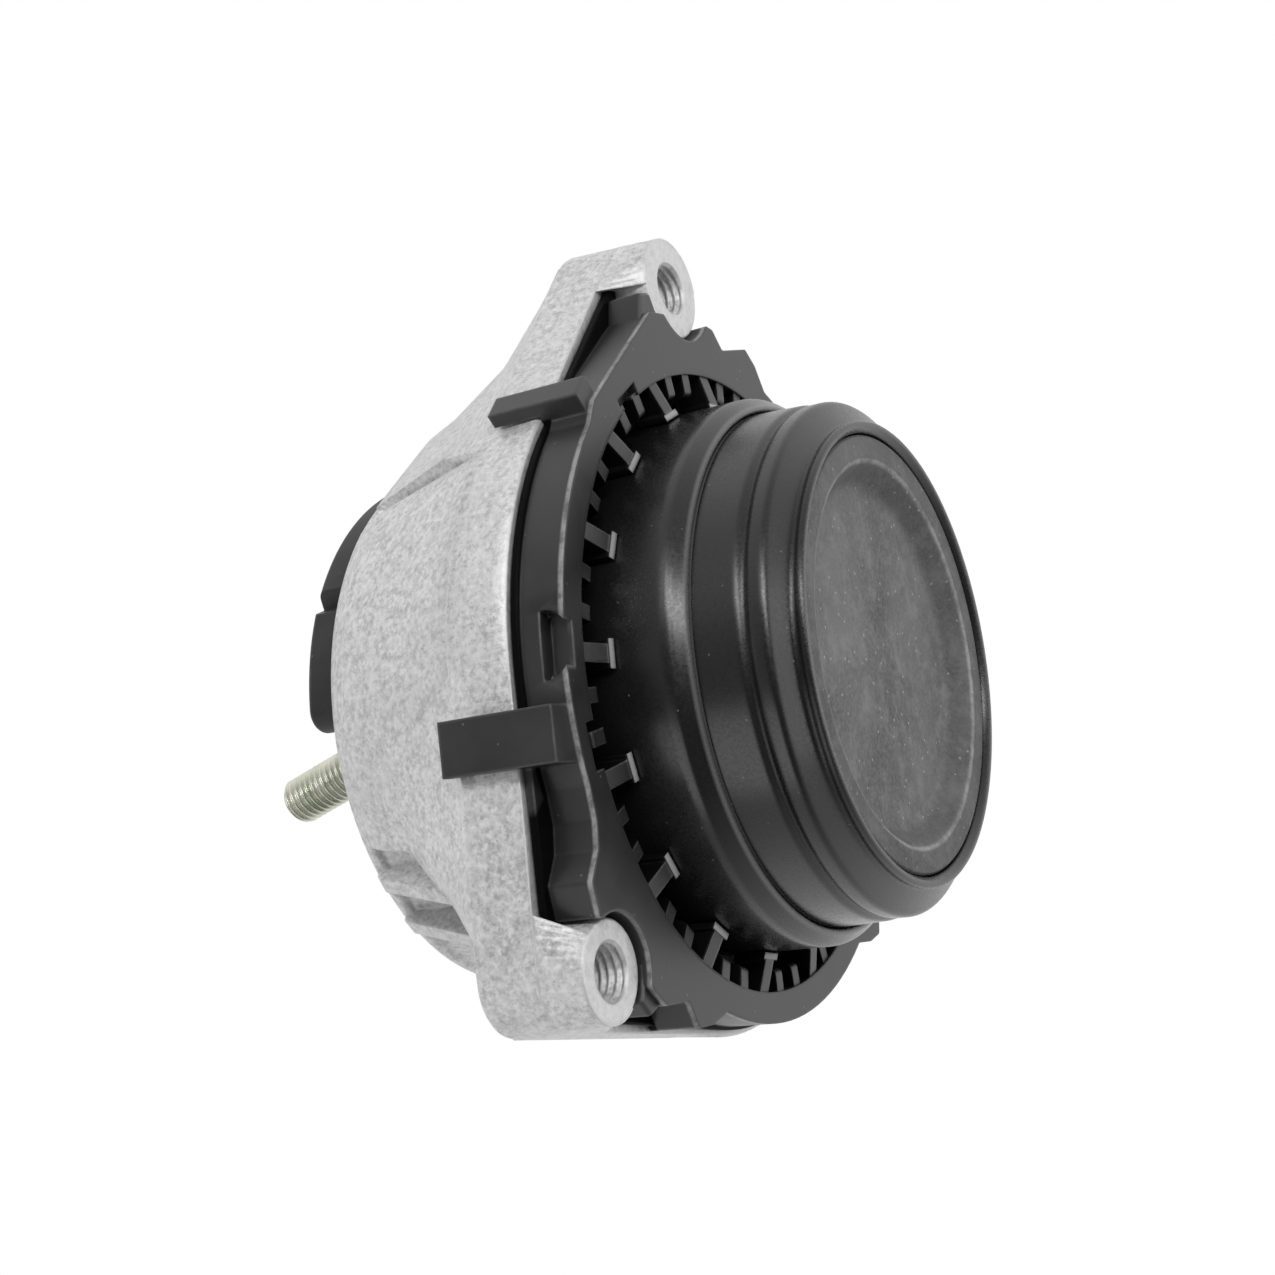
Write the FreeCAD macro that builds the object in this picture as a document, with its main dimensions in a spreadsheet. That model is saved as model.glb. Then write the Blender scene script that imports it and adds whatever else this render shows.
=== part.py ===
import FreeCAD, Part
import math
import os

import Sketcher
from FreeCAD import Placement, Rotation, Vector

# Hydraulic engine mount, millimetres.
# Z runs along the canister: the foot rim stands on z = 0 and the stud points up.
# X points at the single upper ear, and the two lower ears lie either side of -X.

os.makedirs("parts", exist_ok=True)
doc = FreeCAD.newDocument("EngineMount")

# Driving dimensions: name, value, what it is
DRIVING = [
    ("rim_radius", 42.0, "foot rim of the base cup, outside"),
    ("sheet_wall", 1.6, "sheet thickness of the base cup and the barrel"),
    ("lip_height", 1.3, "height of the foot rim before the neck"),
    ("neck_radius", 41.3, "narrowest outside radius above the foot rim"),
    ("neck_height", 2.0, "height of the neck"),
    ("bead_radius", 46.5, "stiffening bead, outside"),
    ("bead_foot", 4.8, "underside of the bead"),
    ("bead_top", 7.9, "top of the bead"),
    ("bead_groove", 0.8, "depth of the groove above the bead"),
    ("waist_radius", 46.8, "cup wall above the bead, outside"),
    ("cup_taper", 0.4, "how much the cup wall widens up to the barrel"),
    ("barrel_foot", 17.7, "lower edge of the barrel, rolled round the cup"),
    ("barrel_radius", 50.4, "barrel outside radius"),
    ("barrel_roll", 2.4, "height of the rolled shoulder"),
    ("barrel_top", 42.6, "underside of the barrel flange"),
    ("flange_radius", 60.4, "barrel flange outside radius"),
    ("cap_radius", 39.6, "closing cap outside radius"),
    ("rim_edge", 1.2, "width of the foot rim's bearing face"),
    ("cap_inset", 1.0, "closing cap face above the foot plane"),
    ("cap_wall", 2.0, "closing cap thickness"),
    ("cap_land", 4.6, "width of the flat land round the cap's dish"),
    ("cap_depth", 4.4, "depth of the cap's dish"),
    ("cap_slope", 4.0, "width of the dish's sloping wall"),
    ("fit", 0.3, "running clearance between neighbouring pieces"),
    ("cup_flange", 48.2, "base cup flange radius inside the barrel"),
    ("bead_seat", 3.4, "height of the diaphragm's clamped bead"),
    ("diaphragm_wall", 2.0, "rubber thickness of the rolling diaphragm"),
    ("diaphragm_drop", 11.0, "how far the rolling diaphragm hangs down"),
    ("plate_height", 8.2, "height of each channel plate"),
    ("plate_wall", 2.4, "web thickness of the channel plates"),
    ("channel_width", 7.0, "width of the ring channel"),
    ("decoupler_radius", 21.0, "decoupler disc radius"),
    ("decoupler_thick", 3.0, "decoupler disc thickness"),
    ("ring_front", 32.0, "front face of the retaining ring"),
    ("ring_bore", 57.6, "inside radius of the retaining ring"),
    ("ring_radius", 63.2, "plain skirt of the retaining ring, outside"),
    ("ring_plate", 2.2, "front plate thickness of the retaining ring"),
    ("ring_wall", 2.0, "skirt and rib thickness of the retaining ring"),
    ("ring_depth", 9.6, "skirt depth of the retaining ring"),
    ("rib_count", 17, "long ribs round the bore of the retaining ring"),
    ("rib_phase", 279.0, "angle of the first long rib, degrees"),
    ("rib_depth", 6.0, "depth of the long ribs"),
    ("rib_width", 4.4, "width of the long ribs"),
    ("rib_lean", 2.2, "how far the tips of the long ribs lean to the front"),
    ("head_width", 6.4, "width of the T head at the tip of a long rib"),
    ("fin_reach", 3.9, "how far the short fins stand into the bore"),
    ("fin_width", 2.6, "width of the short fins, round at their tips"),
    ("fin_stop", 36.0, "no fins nearer than this to the -X side, degrees"),
    ("fin_start", 26.0, "no fins nearer than this to the upper ear, degrees"),
    ("flange_inset", 1.2, "rear flange of the ring inside the housing's edge"),
    ("flange_thick", 1.3, "thickness of that flange"),
    ("notch_width", 8.0, "width of the step notches in the bore"),
    ("notch_depth", 2.4, "depth of the step notches in the bore"),
    ("pocket_angle", 280.0, "angle of the snap pocket, degrees"),
    ("pocket_radius", 5.8, "half height of the half-moon snap pocket"),
    ("pocket_depth", 2.6, "depth of the snap pocket"),
    ("pocket_flat", 4.5, "flat side of the snap pocket behind the front face"),
    ("slot_depth", 3.5, "depth of the slot along that flat side"),
    ("slot_width", 0.9, "width of that slot"),
    ("tab_reach", 54.8, "tip height of the wide clip arm"),
    ("bar_reach", 51.0, "tip height of the narrow clip arm"),
    ("bar_offset", 4.7, "narrow clip arm beside the middle of the upper ear's flank"),
    ("bar_width", 5.0, "width of the narrow clip arm"),
    ("bar_thick", 2.6, "thickness of the narrow clip arm"),
    ("tab_offset", -10.8, "wide clip arm beside the middle of the lower ear's flank"),
    ("tab_width", 9.2, "width of the wide clip arm"),
    ("tab_thick", 2.4, "thickness of the wide clip arm"),
    ("band_radius", 65.0, "housing band outside radius"),
    ("band_foot", 42.0, "lower edge of the housing band"),
    ("band_top", 53.0, "upper edge of the housing band"),
    ("rim_outer", 51.6, "housing top rim outside radius"),
    ("rim_top", 89.4, "height of the housing top rim"),
    ("rim_round", 1.2, "edge radius round the top rim"),
    ("rim_land", 3.2, "height of the housing top rim's edge band"),
    ("can_radius", 50.4, "housing inner can outside radius"),
    ("can_wall", 4.2, "housing can and skin wall thickness"),
    ("skin_half", 34.0, "half the angle that each side skin covers, degrees"),
    ("skin_middle", 76.0, "angle between +X and each side skin's middle, degrees"),
    ("ear_circle", 74.5, "distance of the ear holes from the axis"),
    ("ear_spread", 124.0, "angle between the upper ear and each lower ear, degrees"),
    ("boss_radius", 9.6, "upper ear's boss radius at its end face"),
    ("lower_boss", 8.5, "lower ears' boss radius at their end faces"),
    ("boss_blend", 0.1, "how far an ear's sides stand past its boss"),
    ("boss_draft", 1.1, "how much an ear boss widens towards its top"),
    ("boss_foot", 34.0, "end face of the ear bosses"),
    ("boss_top", 54.0, "top of the ear bosses"),
    ("boss_round", 1.8, "edge radius round the top of the ear bosses"),
    ("hole_radius", 4.35, "tapped ear hole, minor radius of M10"),
    ("thread_radius", 5.0, "major radius of the M10 threads"),
    ("hole_chamfer", 0.5, "chamfer at the mouth of the ear holes"),
    ("hole_depth", 16.0, "depth of the tapped ear holes"),
    ("ear_hip", 68.0, "height at which the ears' sides change their draft"),
    ("hip_reach", 62.0, "distance of an ear's nose from the axis at that height"),
    ("head_reach", 52.5, "distance of an ear's nose from the axis at the top rim"),
    ("gusset_knee", 77.0, "distance at which the upper gusset meets its boss"),
    ("gusset_bend", 60.0, "distance at which the upper gusset steepens"),
    ("bend_drop", 10.9, "that bend below the top rim"),
    ("gusset_head", 57.3, "distance of the upper gusset's head from the axis"),
    ("gusset_drop", 1.6, "gusset head below the top rim"),
    ("flank_knee", 76.0, "distance at which a lower flank meets its boss"),
    ("flank_bend", 63.5, "distance of a lower flank's shoulder from the axis"),
    ("flank_bend_drop", 23.0, "that shoulder below the top rim"),
    ("flank_head", 55.5, "distance of a lower flank's head from the axis"),
    ("flank_drop", 12.6, "lower flank's head below the top rim"),
    ("rib_head", 53.4, "distance of a lower ear rib's head from the axis"),
    ("rib_knee", 64.2, "distance at which a lower ear rib meets its boss"),
    ("flank_wall", 3.4, "thickness of the lower ear flanks"),
    ("gusset_rib", 3.0, "thickness of the lower ear ribs"),
    ("gusset_gap", 10.6, "distance between the two ribs of a lower ear"),
    ("ring_inner", 56.4, "spring outer ring inside radius"),
    ("ring_foot_inner", 50.4, "inside radius of the spring outer ring's foot"),
    ("ring_sheet", 3.0, "spring outer ring thickness"),
    ("band_cover", 1.6, "housing band above the top of the spring outer ring"),
    ("shoulder_rise", 8.0, "height of the housing's inner shoulder above that ring"),
    ("core_foot", 60.0, "lower end of the inner core"),
    ("core_tip", 13.0, "inner core radius at its lower end"),
    ("core_head", 25.0, "inner core radius at its head"),
    ("core_top", 90.0, "top of the inner core's head"),
    ("spring_skirt", 9.0, "rubber thickness of the spring at its outer ring"),
    ("stud_lean", 17.3, "lean of the stud and the stop plate's boss, degrees"),
    ("stud_offset", 5.9, "where the stud axis crosses the top of the core"),
    ("stud_tip", 55.6, "stud length above the core"),
    ("stud_root", 18.0, "stud length pressed into the core"),
    ("stud_collar", 9.0, "stud collar radius"),
    ("collar_height", 3.0, "stud collar height"),
    ("stud_chamfer", 1.4, "chamfer at the stud's tip"),
    ("cover_radius", 49.5, "stop cover outside radius"),
    ("cover_foot", 90.4, "underside of the stop cover"),
    ("cover_height", 5.8, "height of the stop cover"),
    ("cover_edge", 3.0, "distance of the stop cover's straight edge from the axis"),
    ("cover_round", 4.0, "corner radius of the stop cover"),
    ("cover_wall", 1.9, "rubber thickness round the stop plate"),
    ("vee_angle", 57.0, "angle of the V notches from +X, degrees"),
    ("vee_depth", 2.6, "depth of the V notches"),
    ("hub_radius", 16.0, "hub of the stop plate round the stud"),
]

sheet = doc.addObject("Spreadsheet::Sheet", "Sizes")
for row, (name, value, note) in enumerate(DRIVING, start=1):
    sheet.set("A%d" % row, name)
    sheet.set("B%d" % row, str(value))
    sheet.setAlias("B%d" % row, name)
    sheet.set("C%d" % row, note)
doc.recompute()


class Size:
    """A length as a number and as the expression that binds it to the sheet."""

    def __init__(self, text, value):
        self.text = text
        self.value = float(value)

    def __add__(self, other):
        other = as_size(other)
        return Size("(%s + %s)" % (self.text, other.text), self.value + other.value)

    def __sub__(self, other):
        other = as_size(other)
        return Size("(%s - %s)" % (self.text, other.text), self.value - other.value)

    def __mul__(self, other):
        other = as_size(other)
        return Size("(%s * %s)" % (self.text, other.text), self.value * other.value)

    def __truediv__(self, other):
        other = as_size(other)
        return Size("(%s / %s)" % (self.text, other.text), self.value / other.value)

    def __neg__(self):
        return Size("(-%s)" % self.text, -self.value)


def as_size(number):
    """A plain number as a size, or a size as it is."""
    if isinstance(number, Size):
        return number
    return Size("%.6g" % number, number)


def cosine(angle):
    """Cosine of an angle in degrees."""
    angle = as_size(angle)
    return Size("cos(%s * 1 deg)" % angle.text, math.cos(math.radians(angle.value)))


def sine(angle):
    """Sine of an angle in degrees."""
    angle = as_size(angle)
    return Size("sin(%s * 1 deg)" % angle.text, math.sin(math.radians(angle.value)))


class Named:
    """The sheet's sizes as attributes."""

    def __init__(self):
        for name, value, note in DRIVING:
            setattr(self, name, Size("Sizes.%s" % name, sheet.get(name)))


S = Named()
SMALLEST_ROUND = 1.0


def bind(obj, prop, size):
    """Ties one property of an object to the sheet."""
    obj.setExpression(prop, as_size(size).text)


# Sketches: closed outlines with rounded corners, every corner tied to the sheet


def fix_point(sketch, geo, pos, size, kind, axis):
    """Holds one coordinate of a sketch point at a size."""
    size = as_size(size)
    if abs(size.value) < 1e-9:
        sketch.addConstraint(Sketcher.Constraint("PointOnObject", geo, pos, axis))
        return
    index = sketch.addConstraint(Sketcher.Constraint(kind, -1, 1, geo, pos, size.value))
    sketch.setExpression("Constraints[%d]" % index, size.text)


def clipped(corners):
    """The corners with each small round as a chamfer: two plain corners, a little apart."""
    clean = []
    count = len(corners)
    for i, corner in enumerate(corners):
        if len(corner) < 3 or as_size(corner[2]).value >= SMALLEST_ROUND:
            clean.append(corner)
            continue
        for other in (corners[i - 1], corners[(i + 1) % count]):
            run_x = as_size(other[0]) - corner[0]
            run_y = as_size(other[1]) - corner[1]
            length = math.hypot(run_x.value, run_y.value)
            share = as_size(corner[2]) / length
            clean.append((corner[0] + run_x * share, corner[1] + run_y * share))
    return clean


def outline(sketch, corners):
    """Draws a closed outline. Each corner is (x, y) or (x, y, radius)."""
    corners = [(as_size(c[0]), as_size(c[1])) + tuple(c[2:]) for c in corners]
    corners = clipped(corners)
    count = len(corners)
    points = [Vector(as_size(c[0]).value, as_size(c[1]).value, 0) for c in corners]
    rounds = [as_size(c[2]) if len(c) > 2 else None for c in corners]
    starts = list(points)
    ends = list(points)
    arcs = {}
    for i in range(count):
        if rounds[i] is None:
            continue
        here = points[i]
        before = (points[i - 1] - here).normalize()
        after = (points[(i + 1) % count] - here).normalize()
        half = before.getAngle(after) / 2
        run = rounds[i].value / math.tan(half)
        ends[i] = here + before * run
        starts[i] = here + after * run
        centre = here + (before + after).normalize() * (rounds[i].value / math.sin(half))
        left = (-before).cross(after).z > 0
        first, last = (ends[i], starts[i]) if left else (starts[i], ends[i])
        a0 = math.atan2(first.y - centre.y, first.x - centre.x)
        a1 = math.atan2(last.y - centre.y, last.x - centre.x)
        circle = Part.Circle(centre, Vector(0, 0, 1), rounds[i].value)
        arcs[i] = (Part.ArcOfCircle(circle, a0, a1 if a1 > a0 else a1 + 2 * math.pi), left)
    for i in range(count):
        sketch.addGeometry(Part.LineSegment(starts[i], ends[(i + 1) % count]), False)
    for i in range(count):
        line_in = (i - 1) % count
        if i not in arcs:
            sketch.addConstraint(Sketcher.Constraint("Coincident", line_in, 2, i, 1))
            fix_point(sketch, i, 1, corners[i][0], "DistanceX", -2)
            fix_point(sketch, i, 1, corners[i][1], "DistanceY", -1)
            continue
        arc, left = arcs[i]
        geo = sketch.addGeometry(arc, False)
        enter, leave = (1, 2) if left else (2, 1)
        sketch.addConstraint(Sketcher.Constraint("Tangent", line_in, 2, geo, enter))
        sketch.addConstraint(Sketcher.Constraint("Tangent", geo, leave, i, 1))
        index = sketch.addConstraint(Sketcher.Constraint("Radius", geo, rounds[i].value))
        sketch.setExpression("Constraints[%d]" % index, rounds[i].text)
        tip = sketch.addGeometry(Part.Point(points[i]), True)
        sketch.addConstraint(Sketcher.Constraint("PointOnObject", tip, 1, line_in))
        sketch.addConstraint(Sketcher.Constraint("PointOnObject", tip, 1, i))
        fix_point(sketch, tip, 1, corners[i][0], "DistanceX", -2)
        fix_point(sketch, tip, 1, corners[i][1], "DistanceY", -1)


def origin_plane(body, role):
    """One of a body's own origin planes."""
    return [f for f in body.Origin.OriginFeatures if f.Role == role][0]


def eased(radius, top, size):
    """Corners of a top edge that is rounded in three steps."""
    steps = [math.radians(angle) for angle in (0, 30, 60, 90)]
    return [(radius - size * (1 - math.cos(step)), top - size * (1 - math.sin(step)))
            for step in steps]


def turned(label, corners):
    """A body turned about Z from an outline of (radius, height) corners."""
    body = doc.addObject("PartDesign::Body", label)
    body.Label = label
    sketch = body.newObject("Sketcher::SketchObject", label + "_profile")
    sketch.AttachmentSupport = (origin_plane(body, "XZ_Plane"), [""])
    sketch.MapMode = "FlatFace"
    outline(sketch, corners)
    doc.recompute()
    turn = body.newObject("PartDesign::Revolution", label + "_turn")
    turn.Profile = sketch
    turn.ReferenceAxis = (sketch, ["V_Axis"])
    turn.Angle = 360
    body.Tip = turn
    doc.recompute()
    return body


def free_sketch(name, corners, upright):
    """A sketch outside any body, in the XZ plane when upright, else in XY."""
    sketch = doc.addObject("Sketcher::SketchObject", name)
    if upright:
        sketch.Placement = Placement(Vector(), Rotation(Vector(1, 0, 0), 90))
    outline(sketch, corners)
    return sketch


def sector(name, corners, sweep=360, start=0):
    """A turned solid over part of a circle, from its start angle on."""
    turn = doc.addObject("Part::Revolution", name)
    turn.Source = free_sketch(name + "_profile", corners, True)
    turn.Axis = Vector(0, 0, 1)
    turn.Base = Vector(0, 0, 0)
    turn.Solid = True
    bind(turn, "Angle", sweep)
    spin(turn, start)
    return turn


def spin(obj, angle):
    """Turns an object about Z by a size in degrees."""
    angle = as_size(angle)
    obj.Placement = Placement(Vector(), Rotation(Vector(0, 0, 1), max(angle.value, 1e-3)))
    bind(obj, "Placement.Rotation.Angle", angle)


def rod(name, radius, height, foot=0, out=0):
    """A cylinder along Z."""
    obj = doc.addObject("Part::Cylinder", name)
    bind(obj, "Radius", radius)
    bind(obj, "Height", height)
    bind(obj, "Placement.Base.z", foot)
    bind(obj, "Placement.Base.x", out)
    return obj


def cone(name, foot_radius, top_radius, height, foot=0, out=0):
    """A cone along Z."""
    obj = doc.addObject("Part::Cone", name)
    bind(obj, "Radius1", foot_radius)
    bind(obj, "Radius2", top_radius)
    bind(obj, "Height", height)
    bind(obj, "Placement.Base.z", foot)
    bind(obj, "Placement.Base.x", out)
    return obj


def block(name, length, width, height, near=0, foot=0, side=None):
    """A box along X, centred across Y unless a side is given."""
    obj = doc.addObject("Part::Box", name)
    bind(obj, "Length", length)
    bind(obj, "Width", width)
    bind(obj, "Height", height)
    bind(obj, "Placement.Base.x", near)
    bind(obj, "Placement.Base.y", -as_size(width) / 2 if side is None else side)
    bind(obj, "Placement.Base.z", foot)
    return obj


def fused(name, pieces):
    """Several solids as one."""
    obj = doc.addObject("Part::MultiFuse", name)
    obj.Shapes = pieces
    obj.Refine = True
    return obj


def cut(name, base, tool):
    """One solid less another."""
    obj = doc.addObject("Part::Cut", name)
    obj.Base = base
    obj.Tool = tool
    return obj


def shared(name, one, other):
    """What two solids have in common."""
    obj = doc.addObject("Part::MultiCommon", name)
    obj.Shapes = [one, other]
    return obj


def turned_copy(name, source, angle):
    """A solid carried round Z to another angle."""
    obj = doc.addObject("Part::Feature", name)
    doc.recompute()
    obj.Shape = source.Shape.copy()
    obj.Placement = Placement(Vector(), Rotation(Vector(0, 0, 1), as_size(angle).value))
    return obj


# Base cup: pressed sheet with the foot rim, the neck and a stiffening bead

flange_foot = S.barrel_foot + S.sheet_wall
flange_top = flange_foot + S.sheet_wall
cup_top_radius = S.waist_radius + S.cup_taper
groove_radius = S.bead_radius - S.bead_groove
groove_height = S.bead_top + S.bead_groove
crown_height = (S.bead_foot + S.bead_top) / 2
base_cup = turned("base_cup", [
    (S.rim_radius, 0, 0.4),
    (S.rim_radius, S.lip_height, 0.3),
    (S.neck_radius, S.neck_height, 0.5),
    (S.bead_radius, S.bead_foot, 1.2),
    (S.bead_radius, S.bead_top, 0.5),
    (groove_radius, groove_height, 0.3),
    (S.waist_radius, groove_height + S.bead_groove, 0.3),
    (cup_top_radius, flange_foot, 0.2),
    (S.cup_flange, flange_foot),
    (S.cup_flange, flange_top),
    (cup_top_radius - S.sheet_wall, flange_top),
    (S.waist_radius - S.sheet_wall, groove_height + S.bead_groove, 0.5),
    (groove_radius - S.sheet_wall, groove_height, 0.5),
    (S.bead_radius - S.sheet_wall, crown_height, 0.5),
    (S.neck_radius - S.sheet_wall, S.neck_height + S.sheet_wall, 0.3),
    (S.cap_radius + S.fit, S.cap_inset + S.cap_wall),
    (S.cap_radius + S.fit, S.cap_inset),
    (S.rim_radius - S.rim_edge, 0),
])

# Closing cap: dished disc inside the foot rim

dish_edge = S.cap_radius - S.cap_land
dish_floor = dish_edge - S.cap_slope
cap_face = S.cap_inset
cap_back = S.cap_inset + S.cap_wall
end_cap = turned("end_cap", [
    (0, cap_face + S.cap_depth),
    (dish_floor, cap_face + S.cap_depth, 3.0),
    (dish_edge, cap_face, 2.0),
    (S.cap_radius, cap_face, 0.4),
    (S.cap_radius, cap_back),
    (dish_edge + S.cap_wall / 2, cap_back),
    (dish_floor + S.cap_wall / 2, cap_back + S.cap_depth),
    (0, cap_back + S.cap_depth),
])

# Barrel: sheet tube rolled round the cup at its foot and flanged at its top

barrel_inner = S.barrel_radius - S.sheet_wall
barrel_bore = cup_top_radius + S.fit
canister_barrel = turned("canister_barrel", [
    (barrel_bore, S.barrel_foot, 0.3),
    (barrel_bore + S.sheet_wall / 2, S.barrel_foot, 0.3),
    (S.barrel_radius, S.barrel_foot + S.barrel_roll, 1.5),
    (S.barrel_radius, S.barrel_top),
    (S.flange_radius, S.barrel_top),
    (S.flange_radius, S.barrel_top + S.sheet_wall),
    (barrel_inner, S.barrel_top + S.sheet_wall),
    (barrel_inner, flange_foot),
    (barrel_bore, flange_foot),
])

# Rolling diaphragm: thin rubber bowl with a clamped bead

seat_foot = flange_top
seat_top = seat_foot + S.bead_seat
bowl = cup_top_radius - S.sheet_wall - S.diaphragm_wall
stack_radius = barrel_inner - S.fit
rolling_diaphragm = turned("rolling_diaphragm", [
    (0, seat_foot - S.diaphragm_drop * 0.4),
    (bowl * 0.42, seat_foot - S.diaphragm_drop * 0.4, 5.0),
    (bowl * 0.7, seat_foot - S.diaphragm_drop),
    (bowl - S.diaphragm_wall, seat_foot - S.diaphragm_drop),
    (bowl, seat_foot),
    (stack_radius, seat_foot),
    (stack_radius, seat_top),
    (bowl - S.diaphragm_wall, seat_top),
    (bowl - S.diaphragm_wall * 2, seat_foot - S.diaphragm_drop + S.diaphragm_wall),
    (bowl * 0.7 + 1, seat_foot - S.diaphragm_drop + S.diaphragm_wall),
    (bowl * 0.42 + 1, seat_foot - S.diaphragm_drop * 0.4 + S.diaphragm_wall),
    (0, seat_foot - S.diaphragm_drop * 0.4 + S.diaphragm_wall),
])

# Channel plates: two discs with a ring channel between them and a decoupler in the middle

plate_foot = seat_top
plate_split = plate_foot + S.plate_height
plate_top = plate_split + S.plate_height
channel_outer = stack_radius - S.plate_wall
channel_inner = channel_outer - S.channel_width
cage_half = S.decoupler_thick / 2 + 0.5
cage_radius = S.decoupler_radius + 1
grid_radius = S.decoupler_radius - 4
lower_channel_plate = turned("lower_channel_plate", [
    (grid_radius, plate_split - cage_half - S.plate_wall),
    (channel_inner - S.plate_wall, plate_split - cage_half - S.plate_wall),
    (channel_inner - S.plate_wall, plate_foot),
    (stack_radius, plate_foot),
    (stack_radius, plate_split),
    (channel_outer, plate_split),
    (channel_outer, plate_foot + S.plate_wall),
    (channel_inner, plate_foot + S.plate_wall),
    (channel_inner, plate_split),
    (cage_radius, plate_split),
    (cage_radius, plate_split - cage_half),
    (grid_radius, plate_split - cage_half),
])
upper_channel_plate = turned("upper_channel_plate", [
    (grid_radius, plate_split + cage_half),
    (cage_radius, plate_split + cage_half),
    (cage_radius, plate_split),
    (stack_radius, plate_split),
    (stack_radius, plate_top),
    (stack_radius - S.plate_wall, plate_top),
    (stack_radius - S.plate_wall, plate_split + S.plate_wall),
    (cage_radius + S.plate_wall, plate_split + S.plate_wall),
    (cage_radius + S.plate_wall, plate_split + cage_half + S.plate_wall),
    (grid_radius, plate_split + cage_half + S.plate_wall),
])
decoupler_disc = turned("decoupler_disc", [
    (0, plate_split - S.decoupler_thick / 2),
    (S.decoupler_radius, plate_split - S.decoupler_thick / 2, 0.6),
    (S.decoupler_radius, plate_split + S.decoupler_thick / 2, 0.6),
    (0, plate_split + S.decoupler_thick / 2),
])

# Rubber spring, the steel ring it is bonded to and the core that it carries

shell_foot = S.barrel_top + S.sheet_wall
ring_top = S.band_top - S.band_cover
ring_outer = S.flange_radius
spring_outer_ring = turned("spring_outer_ring", [
    (S.ring_foot_inner, shell_foot),
    (ring_outer, shell_foot),
    (ring_outer, ring_top, 0.8),
    (S.ring_inner, ring_top, 0.8),
    (S.ring_inner, shell_foot + S.ring_sheet),
    (S.ring_foot_inner, shell_foot + S.ring_sheet),
])
shank_top = S.core_top - 4
spring_rubber = turned("spring_rubber", [
    (barrel_inner, plate_top),
    (barrel_inner, shell_foot),
    (S.ring_foot_inner, shell_foot),
    (S.ring_foot_inner, shell_foot + S.ring_sheet),
    (S.ring_inner, shell_foot + S.ring_sheet),
    (S.ring_inner, ring_top - 1),
    (S.ring_inner - 9, ring_top + 4.5, 8.0),
    (S.core_head + 2, shank_top - 3, 6.0),
    (S.core_head, shank_top),
    (S.core_tip, S.core_foot),
    (S.core_tip, S.core_foot - 3),
    (S.ring_inner - S.spring_skirt - 6, shell_foot + 3, 6.0),
    (barrel_inner - 5, plate_top),
])

core_solid = sector("core_cone", [
    (0, S.core_foot),
    (S.core_tip, S.core_foot),
    (S.core_head, shank_top),
    (S.core_head, S.core_top - 1.2, 0.8),
    (S.core_head - 1, S.core_top),
    (0, S.core_top),
])


def lean(obj, length_below):
    """Sets a solid on the leaning stud axis, so far below the top of the core."""
    angle = S.stud_lean
    below = as_size(length_below)
    obj.Placement = Placement(Vector(), Rotation(Vector(0, -1, 0), angle.value))
    bind(obj, "Placement.Rotation.Angle", angle)
    bind(obj, "Placement.Base.x", S.stud_offset + below * sine(angle))
    bind(obj, "Placement.Base.z", S.core_top - below * cosine(angle))


def leaning_rod(name, radius, length, below):
    """A cylinder on the stud axis."""
    obj = doc.addObject("Part::Cylinder", name)
    bind(obj, "Radius", radius)
    bind(obj, "Height", length)
    lean(obj, below)
    return obj


core_bore = leaning_rod("core_bore", S.thread_radius, S.stud_root + 6, S.stud_root)
inner_core = cut("inner_core", core_solid, core_bore)

stud_shank = leaning_rod("stud_shank", S.thread_radius, S.stud_root + S.stud_tip - S.stud_chamfer,
                         S.stud_root)
stud_end = doc.addObject("Part::Cone", "stud_end")
bind(stud_end, "Radius1", S.thread_radius)
bind(stud_end, "Radius2", S.thread_radius - S.stud_chamfer)
bind(stud_end, "Height", S.stud_chamfer)
lean(stud_end, -(S.stud_tip - S.stud_chamfer))
collar_rise = S.cover_height + 1.5 + S.stud_collar * sine(S.stud_lean)
stud_ring = leaning_rod("stud_ring", S.stud_collar, S.collar_height, -collar_rise)
stud = fused("stud", [stud_shank, stud_end, stud_ring])


# Stop plate and its moulded rubber cover: half a disc on the side of the upper ear


def half_disc(radius, edge, corner, foot, height):
    """Half a disc with rounded corners, its straight edge towards -X."""
    reach = math.sqrt(radius ** 2 - edge ** 2)
    arc = Part.Arc(Vector(edge, -reach, 0), Vector(radius, 0, 0), Vector(edge, reach, 0))
    chord = Part.LineSegment(Vector(edge, reach, 0), Vector(edge, -reach, 0))
    face = Part.Face(Part.Wire([arc.toShape(), chord.toShape()]))
    face = face.makeOffset2D(-corner).makeOffset2D(corner)
    solid = face.extrude(Vector(0, 0, height))
    solid.translate(Vector(0, 0, foot))
    return solid


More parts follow.
